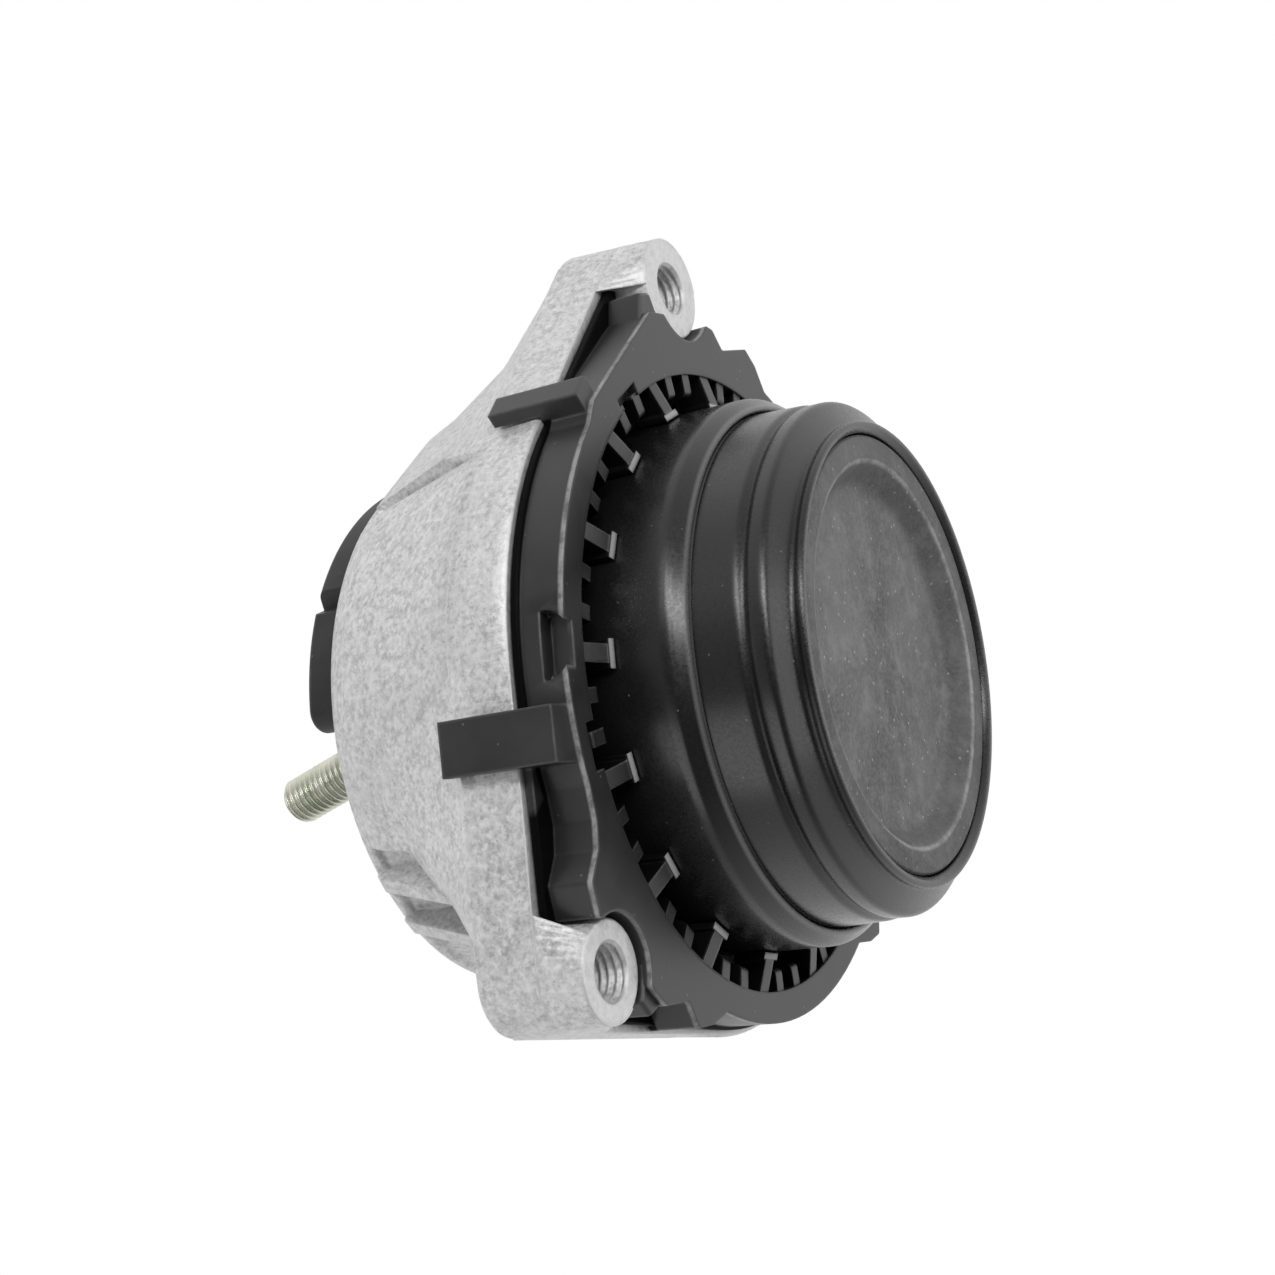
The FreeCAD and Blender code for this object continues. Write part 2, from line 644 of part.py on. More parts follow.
def stop_cover_shape():
    """The rubber cover, open round the hub and notched at its edge."""
    radius = S.cover_radius.value
    foot = S.cover_foot.value
    height = S.cover_height.value
    wall = S.cover_wall.value
    solid = half_disc(radius, S.cover_edge.value, S.cover_round.value, foot, height)
    rims = [e for e in solid.Edges if abs(e.BoundBox.ZMin - foot - height) < 1e-6]
    solid = solid.makeFillet(1.2, [e for e in rims if e.BoundBox.ZLength < 1e-6])
    depth = S.vee_depth.value
    for side in (-1, 1):
        tip = radius - depth
        tri = Part.makePolygon([Vector(tip, 0, 0), Vector(radius + 2, -depth - 2, 0),
                                Vector(radius + 2, depth + 2, 0), Vector(tip, 0, 0)])
        vee = Part.Face(tri).extrude(Vector(0, 0, height * 3))
        vee.translate(Vector(0, 0, foot - height))
        vee.rotate(Vector(), Vector(0, 0, 1), side * S.vee_angle.value)
        solid = solid.cut(vee)
    core = half_disc(radius - wall - depth, S.cover_edge.value + wall, S.cover_round.value,
                     foot + wall, height - 2 * wall)
    hub = Part.makeCylinder(S.hub_radius.value, 3 * height, Vector(0, 0, foot - height))
    return solid.cut(core).cut(hub)


def stop_plate_shape():
    """The steel insert: a half disc on a hub that sits on the core."""
    height = S.cover_height.value
    wall = S.cover_wall.value
    foot = S.cover_foot.value
    plate = half_disc(S.cover_radius.value - wall - S.vee_depth.value,
                      S.cover_edge.value + wall, S.cover_round.value, foot + wall,
                      height - 2 * wall)
    core_top = S.core_top.value
    hub = Part.makeCylinder(S.hub_radius.value, foot + height - core_top, Vector(0, 0, core_top))
    angle = math.radians(S.stud_lean.value)
    along = Vector(-math.sin(angle), 0, math.cos(angle))
    start = Vector(S.stud_offset.value, 0, core_top)
    seat = Part.makeCylinder(S.stud_collar.value + 1.5, collar_rise.value, start, along)
    below = Part.makeBox(80, 80, 20, Vector(-40, -40, core_top - 20))
    return plate.fuse([hub, seat.cut(below)]).removeSplitter()


stop_cover = doc.addObject("Part::Feature", "stop_cover")
stop_cover.Shape = stop_cover_shape()
stop_blank = doc.addObject("Part::Feature", "stop_blank")
stop_blank.Shape = stop_plate_shape()
plate_bore = leaning_rod("plate_bore", S.thread_radius + S.fit, S.stud_tip, 6)
stop_plate = cut("stop_plate", stop_blank, plate_bore)

# Housing: die-cast can with a band, two side skins and three ears

band_inner = S.flange_radius + S.fit
skin_sweep = S.skin_half * 2
skin_starts = [S.skin_middle - S.skin_half, Size("360", 360) - S.skin_middle - S.skin_half]

shoulder_top = ring_top + S.shoulder_rise
flare_foot = ring_top + S.can_wall * 0.8
flare_radius = S.ring_inner + S.can_wall * 0.6
flare_top = shoulder_top + S.can_wall * 0.5
can = sector("housing_can", [
    (20, S.band_foot),
    (S.band_radius, S.band_foot, 0.6),
    (S.band_radius - 0.6, S.band_top, 0.8),
    (flare_radius, flare_foot),
    (S.can_radius, flare_top, 4.0),
    (S.can_radius, S.rim_top - S.rim_land, 1.0),
    (S.rim_outer, S.rim_top - S.rim_land + 1, 0.5),
] + eased(S.rim_outer, S.rim_top, S.rim_round) + [
    (20, S.rim_top),
])
skin_wall = [
    (20, S.band_foot + 1),
    (S.band_radius - 1, S.band_foot + 1),
    (S.band_radius - 0.9, S.band_top + 1.0),
    (S.band_radius - 2.6, S.band_top + 2.5),
    (S.rim_outer + 3.2, S.rim_top - 6.0, 8.0),
    (S.rim_outer, S.rim_top - 0.6, 1.0),
    (20, S.rim_top - 0.6),
]
skins = [sector("housing_skin_%d" % i, skin_wall, skin_sweep, start)
         for i, start in enumerate(skin_starts, start=1)]


def ear_plan(name, circle, end, distance, height):
    """Wedge from the body circle to an ear boss, as a sketch at one height."""
    ratio = (circle.value - end.value) / distance.value
    lean_in = Size("((%s - %s) / %s)" % (circle.text, end.text, distance.text), ratio)
    rise = Size("sqrt(1 - %s^2)" % lean_in.text, math.sqrt(1 - ratio ** 2))
    corners = [
        (0, -0.5),
        (circle * lean_in, -(circle * rise)),
        (distance + end * lean_in, -(end * rise)),
        (distance + end * lean_in, end * rise),
        (circle * lean_in, circle * rise),
        (0, 0.5),
    ]
    sketch = free_sketch(name, corners, False)
    bind(sketch, "Placement.Base.z", height)
    return sketch


def boss_at(radius, height):
    """Radius that a boss has at a height, with the ear's sides flush to it."""
    share = (height - S.boss_foot) / (S.boss_top - S.boss_foot)
    return radius + S.boss_draft * share + S.boss_blend


def ear_wedge(name, radius, inset):
    """Hull between the body and a boss, drawn in towards the top rim."""
    band = S.band_radius - 0.5 - inset
    boss = radius - inset
    foot_end = boss_at(boss, S.band_foot)
    waist_end = boss_at(boss, S.band_top)
    foot = ear_plan(name + "_foot", band, foot_end, S.ear_circle, S.band_foot)
    waist = ear_plan(name + "_waist", band, waist_end, S.ear_circle, S.band_top)
    hip_circle = band + (S.rim_outer - band) * ((S.ear_hip - S.band_top) / (S.rim_top - S.band_top))
    hip = ear_plan(name + "_hip", hip_circle, boss - 1.0, S.hip_reach, S.ear_hip)
    head = ear_plan(name + "_head", S.rim_outer - inset, boss - 2.0, S.head_reach, S.rim_top)
    parts = []
    for label, pair in (("low", [foot, waist]), ("middle", [waist, hip]), ("high", [hip, head])):
        loft = doc.addObject("Part::Loft", "%s_%s" % (name, label))
        loft.Sections = pair
        loft.Solid = True
        loft.Ruled = True
        parts.append(loft)
    return fused(name, parts)


upper_wedge = ear_wedge("upper_wedge", S.boss_radius, as_size(0))
lower_wedge = ear_wedge("lower_wedge", S.lower_boss, as_size(0))
gusset_line = [
    (10, S.band_foot),
    (S.ear_circle + S.boss_radius + 4, S.band_foot),
    (S.ear_circle + S.boss_radius + 4, S.boss_top - 1.0),
    (S.gusset_knee, S.boss_top + 0.4, 6.0),
    (S.gusset_bend, S.rim_top - S.bend_drop, 5.0),
    (S.gusset_head, S.rim_top - S.gusset_drop, 1.5),
    (S.rim_outer - 1.0, S.rim_top - 0.6),
    (10, S.rim_top - 0.6),
]
flank_line = [
    (10, S.band_foot),
    (S.ear_circle + S.lower_boss + 4, S.band_foot),
    (S.ear_circle + S.lower_boss + 4, S.boss_top - 1.0),
    (S.flank_knee, S.boss_top - 0.4, 3.0),
    (S.flank_bend, S.rim_top - S.flank_bend_drop, 8.0),
    (S.flank_head, S.rim_top - S.flank_drop, 2.0),
    (S.can_radius - 2, S.rim_top - S.flank_drop),
    (10, S.rim_top - S.flank_drop),
]
gusset_turn = sector("gusset_turn", gusset_line)
flank_turn = sector("flank_turn", flank_line)
rib_turn = sector("rib_turn", [
    (10, S.band_top),
    (S.rib_knee + 6, S.band_top),
    (S.rib_knee, S.boss_top, 3.0),
    (S.rib_head, S.rim_top - S.gusset_drop, 2.0),
    (S.rim_outer - 2.0, S.rim_top - 0.6),
    (10, S.rim_top - 0.6),
])



def ear_boss(name, radius):
    """Round boss that widens towards its top."""
    boss = sector(name, [
        (0, S.boss_foot),
        (radius, S.boss_foot, 0.3),
    ] + eased(radius + S.boss_draft, S.boss_top, S.boss_round) + [
        (0, S.boss_top),
    ])
    bind(boss, "Placement.Base.x", S.ear_circle)
    return boss


upper_web = shared("upper_web", upper_wedge, gusset_turn)
upper_ear = fused("upper_ear", [upper_web, ear_boss("upper_ear_boss", S.boss_radius)])

pocket_wedge = ear_wedge("pocket_wedge", S.lower_boss, S.flank_wall)
pocket_floor = flare_foot + 1
pocket_turn = sector("pocket_turn", [
    (S.can_radius, flare_top),
    (flare_radius, pocket_floor),
    (S.ear_circle - S.lower_boss + 1, pocket_floor, 2.0),
    (S.ear_circle - S.lower_boss - 3, S.rim_top),
    (S.can_radius, S.rim_top),
])
pocket = shared("ear_pocket", pocket_wedge, pocket_turn)
flank = shared("lower_flank", lower_wedge, flank_turn)
flank_shell = cut("lower_flank_shell", flank, pocket)
rib_blocks = []
for side in (-1, 1):
    middle = S.gusset_gap * side / 2
    rib_blocks.append(block("gusset_rib_%d" % (side + 2), S.ear_circle, S.gusset_rib,
                            S.rim_top - S.band_top, 0, S.band_top, middle - S.gusset_rib / 2))
rib_pair = fused("gusset_ribs", rib_blocks)
lower_ribs = shared("lower_ribs", rib_pair, rib_turn)
lower_ear = fused("lower_ear", [flank_shell, lower_ribs, ear_boss("lower_ear_boss", S.lower_boss)])

ears = [
    upper_ear,
    turned_copy("lower_ear_1", lower_ear, S.ear_spread),
    turned_copy("lower_ear_2", lower_ear, -S.ear_spread),
]
casting = fused("housing_casting", [can] + skins + ears)

can_bore = S.can_radius - S.can_wall
cavity = sector("housing_cavity", [
    (0, S.band_foot - 12),
    (band_inner, S.band_foot - 12),
    (band_inner, ring_top + S.fit),
    (S.ring_inner, ring_top + S.fit),
    (can_bore, shoulder_top),
    (can_bore, S.rim_top + 5),
    (0, S.rim_top + 5),
])
skin_bore = [
    (can_bore - 2, ring_top + 0.2),
    (S.ring_inner + 1.5, ring_top + 0.2),
    (S.rim_outer + 2.6 - S.can_wall, S.rim_top - 9.0),
    (can_bore - 2, S.rim_top - 8.0),
]
inset_angle = as_size(4)
bores = [sector("skin_bore_%d" % i, skin_bore, skin_sweep - inset_angle * 2, start + inset_angle)
         for i, start in enumerate(skin_starts, start=1)]
hole_foot = S.boss_foot - 1
holes = []
for i, angle in enumerate((Size("0", 0), S.ear_spread, Size("360", 360) - S.ear_spread), start=1):
    drill = rod("ear_drill_%d" % i, S.hole_radius, S.hole_depth + 1, hole_foot)
    mouth = cone("ear_mouth_%d" % i, S.hole_radius + S.hole_chamfer + 1, S.hole_radius,
                 S.hole_chamfer + 1, hole_foot)
    tool = fused("ear_tool_%d" % i, [drill, mouth])
    spin(tool, angle)
    bind(tool, "Placement.Base.x", S.ear_circle * cosine(angle))
    bind(tool, "Placement.Base.y", S.ear_circle * sine(angle))
    holes.append(tool)
housing = cut("housing", casting, fused("housing_tools", [cavity] + bores + holes))


# Retaining ring: moulded plate with a skirt, scalloped round the ears and ribbed in its bore


def polar(radius, angle):
    """Point at a radius and an angle in degrees."""
    turn = math.radians(angle)
    return Vector(radius * math.cos(turn), radius * math.sin(turn), 0)


RIB_SET_BACK = 0.3
# Plate beside an ear: degrees from the ear, then how far past the skirt it reaches
BESIDE_UPPER = ((-42, 0), (-38, 1.4), (-30, 1.5), (-11.6, 6.6), (4, 5.4), (9, 4.6), (12, 1.4),
                (16, 3.0), (20.5, 5.3), (24, 3.6), (28, 0))
BESIDE_LOWER = ((-23, 0), (-18, 1.0), (-14.5, 3.4), (-12, 8.2), (-7.9, 9.8), (8, 7.4), (11.4, 7.2),
                (16.4, 3.0), (20.3, 5.8), (24, 3.6), (28, 0))


def ear_outline(ear, side, beside):
    """Plate beside one ear: a horn on one side of the boss, a lobe on the other."""
    edge = S.ring_radius.value
    first, last = beside[0][0], beside[-1][0]
    points = [polar(edge - 6, ear + side * first)]
    points += [polar(edge + reach, ear + side * turn) for turn, reach in beside]
    points.append(polar(edge - 6, ear + side * last))
    if side < 0:
        points.reverse()
    return Part.Face(Part.makePolygon(points + [points[0]]))


def disc(radius):
    """A flat disc."""
    return Part.Face(Part.Wire(Part.Circle(Vector(), Vector(0, 0, 1), radius).toShape()))


def ring_plan():
    """Outline of the front plate, without its bore."""
    spread = S.ear_spread.value
    beside_ears = [
        ear_outline(0, 1, BESIDE_UPPER),
        ear_outline(spread, 1, BESIDE_LOWER),
        ear_outline(-spread, -1, BESIDE_LOWER),
    ]
    face = disc(S.ring_radius.value).multiFuse(beside_ears).removeSplitter()
    face = clear_of_bosses(face)
    return face.makeOffset2D(-1.0).makeOffset2D(2.0).makeOffset2D(-1.0)


def bosses():
    """Angle and boss radius of each ear."""
    spread = S.ear_spread.value
    lower = S.lower_boss.value
    return ((0, S.boss_radius.value), (spread, lower), (-spread, lower))


def clear_of_bosses(face):
    """A face cut back round the three bosses."""
    for ear, radius in bosses():
        seat = disc(radius + S.boss_draft.value / 2 + S.fit.value)
        seat.translate(polar(S.ear_circle.value, ear))
        face = face.cut(seat)
    return sorted(face.Faces, key=lambda piece: piece.Area)[-1]


def rear_flange():
    """Thin flange under the housing's band and ears, inside their edge."""
    inset = S.flange_inset.value
    circle = S.band_radius.value - inset
    distance = S.ear_circle.value
    faces = []
    for ear, radius in bosses():
        end = radius - inset
        lean_in = math.degrees(math.acos((circle - end) / distance))
        middle = polar(distance, ear)
        points = [
            polar(circle, ear - lean_in),
            middle + polar(end, ear - lean_in),
            middle + polar(end, ear + lean_in),
            polar(circle, ear + lean_in),
            Vector(),
        ]
        faces.append(Part.Face(Part.makePolygon(points + [points[0]])))
    face = disc(circle).multiFuse(faces).removeSplitter()
    return clear_of_bosses(face)


def upright(face, foot, height):
    """A flat face raised to a solid."""
    solid = face.extrude(Vector(0, 0, height))
    solid.translate(Vector(0, 0, foot))
    return solid


def radial_bar(inner, outer, thick, foot, height, angle):
    """A bar that points at the axis."""
    bar = Part.makeBox(outer - inner, thick, height, Vector(inner, -thick / 2, foot))
    bar.rotate(Vector(), Vector(0, 0, 1), angle)
    return bar


def leaning_rib(inner, outer, width, foot, height, lean, angle):
    """A rib that points at the axis, its tip leaning to the front."""
    points = [
        Vector(outer, -width / 2, foot),
        Vector(outer, -width / 2, foot + height),
        Vector(inner, -width / 2, foot + height - lean),
        Vector(inner, -width / 2, foot - lean),
    ]
    rib = Part.Face(Part.makePolygon(points + [points[0]])).extrude(Vector(0, width, 0))
    rib.rotate(Vector(), Vector(0, 0, 1), angle)
    return rib


def apart(one, other):
    """Degrees between two directions."""
    return abs((one - other + 180) % 360 - 180)


def ring_shape():
    """The whole moulding as one solid."""
    front = S.ring_front.value
    plate = S.ring_plate.value
    wall = S.ring_wall.value
    depth = S.ring_depth.value
    bore = S.ring_bore.value
    plan = ring_plan()
    body = upright(plan, front, depth)
    hollow = upright(plan.makeOffset2D(-wall), front + plate, depth)
    inner_wall = Part.makeCylinder(bore + wall, depth - 2, Vector(0, 0, front))
    body = body.cut(hollow).fuse(inner_wall)
    body = body.cut(Part.makeCylinder(bore, depth * 3, Vector(0, 0, front - depth)))
    extras = []
    count = int(S.rib_count.value)
    pitch = 360.0 / count
    tip = S.barrel_radius.value + S.fit.value
    root = bore + wall / 2
    lean = S.rib_lean.value
    rib_foot = front + RIB_SET_BACK
    rib_depth = S.rib_depth.value
    head_lean = lean * wall / (root - tip)
    fin_width = S.fin_width.value
    fin_tip = bore - S.fin_reach.value + fin_width / 2
    for i in range(count):
        angle = S.rib_phase.value + i * pitch
        extras.append(leaning_rib(tip, root, S.rib_width.value, rib_foot, rib_depth, lean, angle))
        extras.append(leaning_rib(tip, tip + wall, S.head_width.value,
                                  rib_foot + head_lean - lean, rib_depth, head_lean, angle))
        for third in (1, 2):
            turn = angle + third * pitch / 3
            if apart(turn, 0) < S.fin_start.value or apart(turn, 180) < S.fin_stop.value:
                continue
            extras.append(radial_bar(fin_tip, root, fin_width, rib_foot, rib_depth, turn))
            extras.append(Part.makeCylinder(fin_width / 2, rib_depth,
                                            polar(fin_tip, turn) + Vector(0, 0, rib_foot)))
    spread = S.ear_spread.value
    notch = S.notch_width.value
    for ear, side in ((0, 1), (spread, 1), (-spread, -1)):
        cutter = radial_bar(bore - 5, bore + S.notch_depth.value, notch, front - 1, plate + 1,
                            ear - side * 28)
        body = body.cut(cutter)
    arm_inner = S.band_radius.value + S.fit.value
    arm_foot = front + 1
    root_height = S.band_foot.value - S.fit.value - arm_foot
    upper_flank, lower_flank = [
        math.degrees(math.acos((S.band_radius.value - radius) / S.ear_circle.value))
        for ear, radius in bosses()[:2]]
    for normal, offset, width, thick, reach in (
            (-upper_flank, S.bar_offset, S.bar_width, S.bar_thick, S.bar_reach),
            (lower_flank - spread, S.tab_offset, S.tab_width, S.tab_thick, S.tab_reach)):
        side = offset.value - width.value / 2
        stub = Part.makeBox(thick.value + 4.5, width.value, root_height,
                            Vector(arm_inner - 4.5, side, arm_foot))
        arm = Part.makeBox(thick.value, width.value, reach.value - arm_foot,
                           Vector(arm_inner, side, arm_foot))
        for bar in (stub, arm):
            bar.rotate(Vector(), Vector(0, 0, 1), normal)
            extras.append(bar)
    flange_thick = S.flange_thick.value
    flange = upright(rear_flange(), front + depth - flange_thick, flange_thick)
    extras.append(flange.cut(Part.makeCylinder(root, depth * 2, Vector(0, 0, front))))
    pocket_angle = S.pocket_angle.value
    pocket_radius = S.pocket_radius.value
    slot_floor = S.ring_radius.value - S.slot_depth.value
    extras.append(radial_bar(bore + wall / 2, S.ring_radius.value - wall / 2,
                             2 * pocket_radius + wall, front + plate / 2,
                             depth - plate, pocket_angle))
    body = body.multiFuse(extras).removeSplitter()
    flat = front + S.pocket_flat.value
    half_moon = Part.makeCylinder(pocket_radius, 3 * wall,
                                  Vector(S.ring_radius.value - S.pocket_depth.value, 0, flat),
                                  Vector(1, 0, 0))
    half_moon = half_moon.cut(Part.makeBox(40, 40, 40, Vector(S.ring_radius.value - 20, -20, flat)))
    half_moon.rotate(Vector(), Vector(0, 0, 1), pocket_angle)
    slot = radial_bar(slot_floor, slot_floor + 3 * wall, 2 * pocket_radius - wall,
                      flat - S.slot_width.value, S.slot_width.value, pocket_angle)
    body = body.cut(half_moon.fuse(slot))
    bodies = sorted(body.Solids, key=lambda solid: solid.Volume)
    return bodies[-1]


retaining_ring = doc.addObject("Part::Feature", "retaining_ring")
retaining_ring.Shape = ring_shape()

# Checks, then one STEP file for each piece

NODES = [
    housing, retaining_ring, canister_barrel, base_cup, end_cap, rolling_diaphragm,
    lower_channel_plate, upper_channel_plate, decoupler_disc, spring_outer_ring,
    spring_rubber, inner_core, stop_plate, stop_cover, stud,
]
doc.recompute()
for obj in doc.Objects:
    if "Invalid" in obj.State or "Error" in obj.State:
        raise RuntimeError("%s failed: %s" % (obj.Name, obj.State))
for node in NODES:
    shape = node.Shape
    if shape.isNull() or not shape.isValid() or len(shape.Solids) != 1:
        raise RuntimeError("%s has %d solids, valid %s"
                           % (node.Name, len(shape.Solids), shape.isValid()))
    print("%-20s %9.1f mm3" % (node.Label, shape.Volume))
for node in NODES:
    node.Shape.exportStep("parts/%s.step" % node.Label)
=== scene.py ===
"""Hydraulic engine mount: looks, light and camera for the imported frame.

Metres. Z runs up the canister from its foot rim, X points at the upper ear.
"""

import math

import bmesh
import bpy
from mathutils import Matrix, Vector


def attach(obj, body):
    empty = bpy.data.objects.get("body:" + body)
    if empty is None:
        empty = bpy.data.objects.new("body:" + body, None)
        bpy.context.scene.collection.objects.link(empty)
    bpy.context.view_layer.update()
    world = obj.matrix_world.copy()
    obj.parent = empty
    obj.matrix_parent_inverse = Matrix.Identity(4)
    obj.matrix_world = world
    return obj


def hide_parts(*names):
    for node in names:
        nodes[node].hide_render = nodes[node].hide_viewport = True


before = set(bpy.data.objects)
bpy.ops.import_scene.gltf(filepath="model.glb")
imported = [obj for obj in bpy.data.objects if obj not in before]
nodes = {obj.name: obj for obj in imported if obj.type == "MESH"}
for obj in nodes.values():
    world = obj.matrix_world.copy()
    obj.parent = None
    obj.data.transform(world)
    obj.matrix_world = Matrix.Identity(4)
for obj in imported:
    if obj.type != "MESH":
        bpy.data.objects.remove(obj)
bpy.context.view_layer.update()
scene = bpy.context.scene

MM = 0.001

# Camera: where it stands and how it is turned, then its lens on a square frame

CAMERA_PLACE = Vector((2.32, -318.453, -124.181)) * MM
CAMERA_RIGHT = Vector((-0.16806, 0.4842, -0.85867)).normalized()
CAMERA_AHEAD = Vector((0.02441, 0.87283, 0.48741)).normalized()
CAMERA_UP = CAMERA_RIGHT.cross(CAMERA_AHEAD)
CAMERA_LENS = 53.65
SENSOR = 36.0

# Sizes that the pieces made here share with the frame

STUD_FOOT = Vector((5.9, 0.0, 90.0)) * MM
STUD_LEAN = math.radians(17.3)
STUD_ROOT = -18.0 * MM
STUD_COLLAR_FOOT = 9.98 * MM
STUD_COLLAR_TOP = 12.98 * MM
STUD_COLLAR_RADIUS = 9.0 * MM
STUD_THREAD_FOOT = 15.0 * MM
STUD_TIP = 55.6 * MM
THREAD_MAJOR = 5.0 * MM
THREAD_MINOR = 4.2 * MM
THREAD_PITCH = 1.5 * MM
TIP_CHAMFER = 1.4 * MM
STUD_EDGE = 0.5 * MM
EAR_CIRCLE = 74.5 * MM
EAR_ANGLES = (0.0, 124.0, -124.0)
HOLE_FOOT = 34.0 * MM
HOLE_DEPTH = 16.0 * MM
HOLE_MINOR = 4.35 * MM
HOLE_MAJOR = 5.05 * MM
BAND_FOOT = 42.0 * MM
BAND_TOP = 56.0 * MM
BAND_INSIDE = 58.5 * MM
BAND_CIRCLE = 64.5 * MM
EAR_START = 70.0 * MM
BOSS_RADII = (9.6 * MM, 8.5 * MM, 8.5 * MM)
BOSS_SPREAD = 0.54 * MM
RING_FRONT = 32.0 * MM
RING_BORE = 57.6 * MM
RING_BACK = 41.6 * MM
RING_SKIRT = 64.4 * MM
REAR_FLANGE = 1.5 * MM
HORN_REACHES = (36.0 * MM, 24.0 * MM, 24.0 * MM)
HORN_SIDES = (1, -1, 1)
BARREL_RADIUS = 50.4 * MM
BARREL_LIP = 46.8 * MM
BARREL_FOOT = 17.7 * MM
SHOULDER = 18.6 * MM
SHOULDER_REACH = 4.0 * MM
DISH_EDGE = 35.0 * MM
DISH_FLOOR = 31.0 * MM
RIB_COUNT = 17
RIB_PHASE = math.radians(279.0)
RIB_HEAD = 1.2 * MM
RIB_LEAN = 2.0 * MM


class Paint:
    """A material built up node by node."""

    def __init__(self, name):
        self.material = bpy.data.materials.new(name)
        self.material.use_nodes = True
        self.tree = self.material.node_tree
        self.tree.nodes.clear()
        self.surface = self.node("ShaderNodeBsdfPrincipled")
        self.place = self.node("ShaderNodeTexCoord").outputs["Object"]
        output = self.node("ShaderNodeOutputMaterial")
        self.link(self.surface.outputs["BSDF"], output.inputs["Surface"])
        self.output = output

    def node(self, kind, **facts):
        made = self.tree.nodes.new(kind)
        for key, value in facts.items():
            setattr(made, key, value)
        return made

    def link(self, source, target):
        """Joins an output to an input, or sets the input when it is given a number."""
        if isinstance(source, (int, float, tuple)):
            target.default_value = source
        else:
            self.tree.links.new(source, target)

    def stretched(self, scale):
        """Object coordinates with each axis scaled."""
        mapping = self.node("ShaderNodeMapping")
        self.link(self.place, mapping.inputs["Vector"])
        mapping.inputs["Scale"].default_value = scale
        return mapping.outputs["Vector"]

    def noise(self, scale, detail, rough, place=None):
        """Cloudy values about 0.5, finer with a larger scale."""
        made = self.node("ShaderNodeTexNoise")
        self.link(self.place if place is None else place, made.inputs["Vector"])
        made.inputs["Scale"].default_value = scale
        made.inputs["Detail"].default_value = detail
        made.inputs["Roughness"].default_value = rough
        return made.outputs["Fac"]

    def specks(self, scale, size):
        """Small round dots at random places: 1 on a dot, 0 elsewhere."""
        cells = self.node("ShaderNodeTexVoronoi")
        self.link(self.place, cells.inputs["Vector"])
        cells.inputs["Scale"].default_value = scale
        return self.ramp(cells.outputs["Distance"], size * 0.5, size, 1.0, 0.0)

    def ramp(self, source, low, high, start=0.0, end=1.0):
        """Carries low..high to start..end, clamped."""
        made = self.node("ShaderNodeMapRange")
        self.link(source, made.inputs["Value"])
        made.inputs["From Min"].default_value = low
        made.inputs["From Max"].default_value = high
        made.inputs["To Min"].default_value = start
        made.inputs["To Max"].default_value = end
        return made.outputs["Result"]

    def math(self, operation, first, second=0.0):
        """One sum on two numbers or outputs."""
        made = self.node("ShaderNodeMath", operation=operation)
        self.link(first, made.inputs[0])
        self.link(second, made.inputs[1])
        return made.outputs["Value"]

    def times(self, *factors):
        """Product of numbers or outputs."""
        product = factors[0]
        for factor in factors[1:]:
            product = self.math("MULTIPLY", product, factor)
        return product

    def between(self, source, rise, fall):
        """1 between two slopes, each given as where it starts and ends, and 0 outside them."""
        return self.times(self.ramp(source, rise[0], rise[1]),
                          self.ramp(source, fall[0], fall[1], 1.0, 0.0))

    def mixed(self, share, first, second):
        """Colour between two colours or colour outputs."""
        made = self.node("ShaderNodeMix", data_type="RGBA")
        self.link(share, made.inputs[0])
        self.link(first, made.inputs[6])
        self.link(second, made.inputs[7])
        return made.outputs[2]

    def axes(self):
        """Object X, Y and Z as numbers."""
        made = self.node("ShaderNodeSeparateXYZ")
        self.link(self.place, made.inputs["Vector"])
        return made.outputs["X"], made.outputs["Y"], made.outputs["Z"]

    def from_axis(self):
        """Distance from the Z axis."""
        x, y, z = self.axes()
        squares = self.math("ADD", self.times(x, x), self.times(y, y))
        return self.math("SQRT", squares)

    def rounded(self, radius, height, strength, distance, lean=None):
        """Rounds the sharp edges, lays a height map over them and gives the rounded normal back."""
        bevel = self.node("ShaderNodeBevel", samples=6)
        bevel.inputs["Radius"].default_value = radius
        normal = bevel.outputs["Normal"]
        if lean is not None:
            normal = self.leaned(normal, lean)
        bump = self.node("ShaderNodeBump")
        bump.inputs["Strength"].default_value = strength
        bump.inputs["Distance"].default_value = distance
        self.link(height, bump.inputs["Height"])
        self.link(normal, bump.inputs["Normal"])
        self.link(bump.outputs["Normal"], self.surface.inputs["Normal"])
        return bevel.outputs["Normal"]

    def beside_ear(self, degrees, reach):
        """1 within a reach of the line from the axis out through an ear."""
        start = 30 * MM
        x, y, z = self.axes()
        turn = math.radians(degrees)
        across = self.math("SUBTRACT", self.times(x, math.sin(turn)),
                           self.times(y, math.cos(turn)))
        along = self.math("ADD", self.times(x, math.cos(turn)), self.times(y, math.sin(turn)))
        near = self.ramp(self.math("ABSOLUTE", across), reach, reach + 1 * MM, 1.0, 0.0)
        return self.times(near, self.ramp(along, start, start + 1 * MM))

    def facing_front(self):
        """1 on faces that look to the front, along -Z."""
        split = self.node("ShaderNodeSeparateXYZ")
        self.link(self.node("ShaderNodeNewGeometry").outputs["Normal"], split.inputs[0])
        return self.ramp(split.outputs["Z"], -0.8, -0.4, 1.0, 0.0)

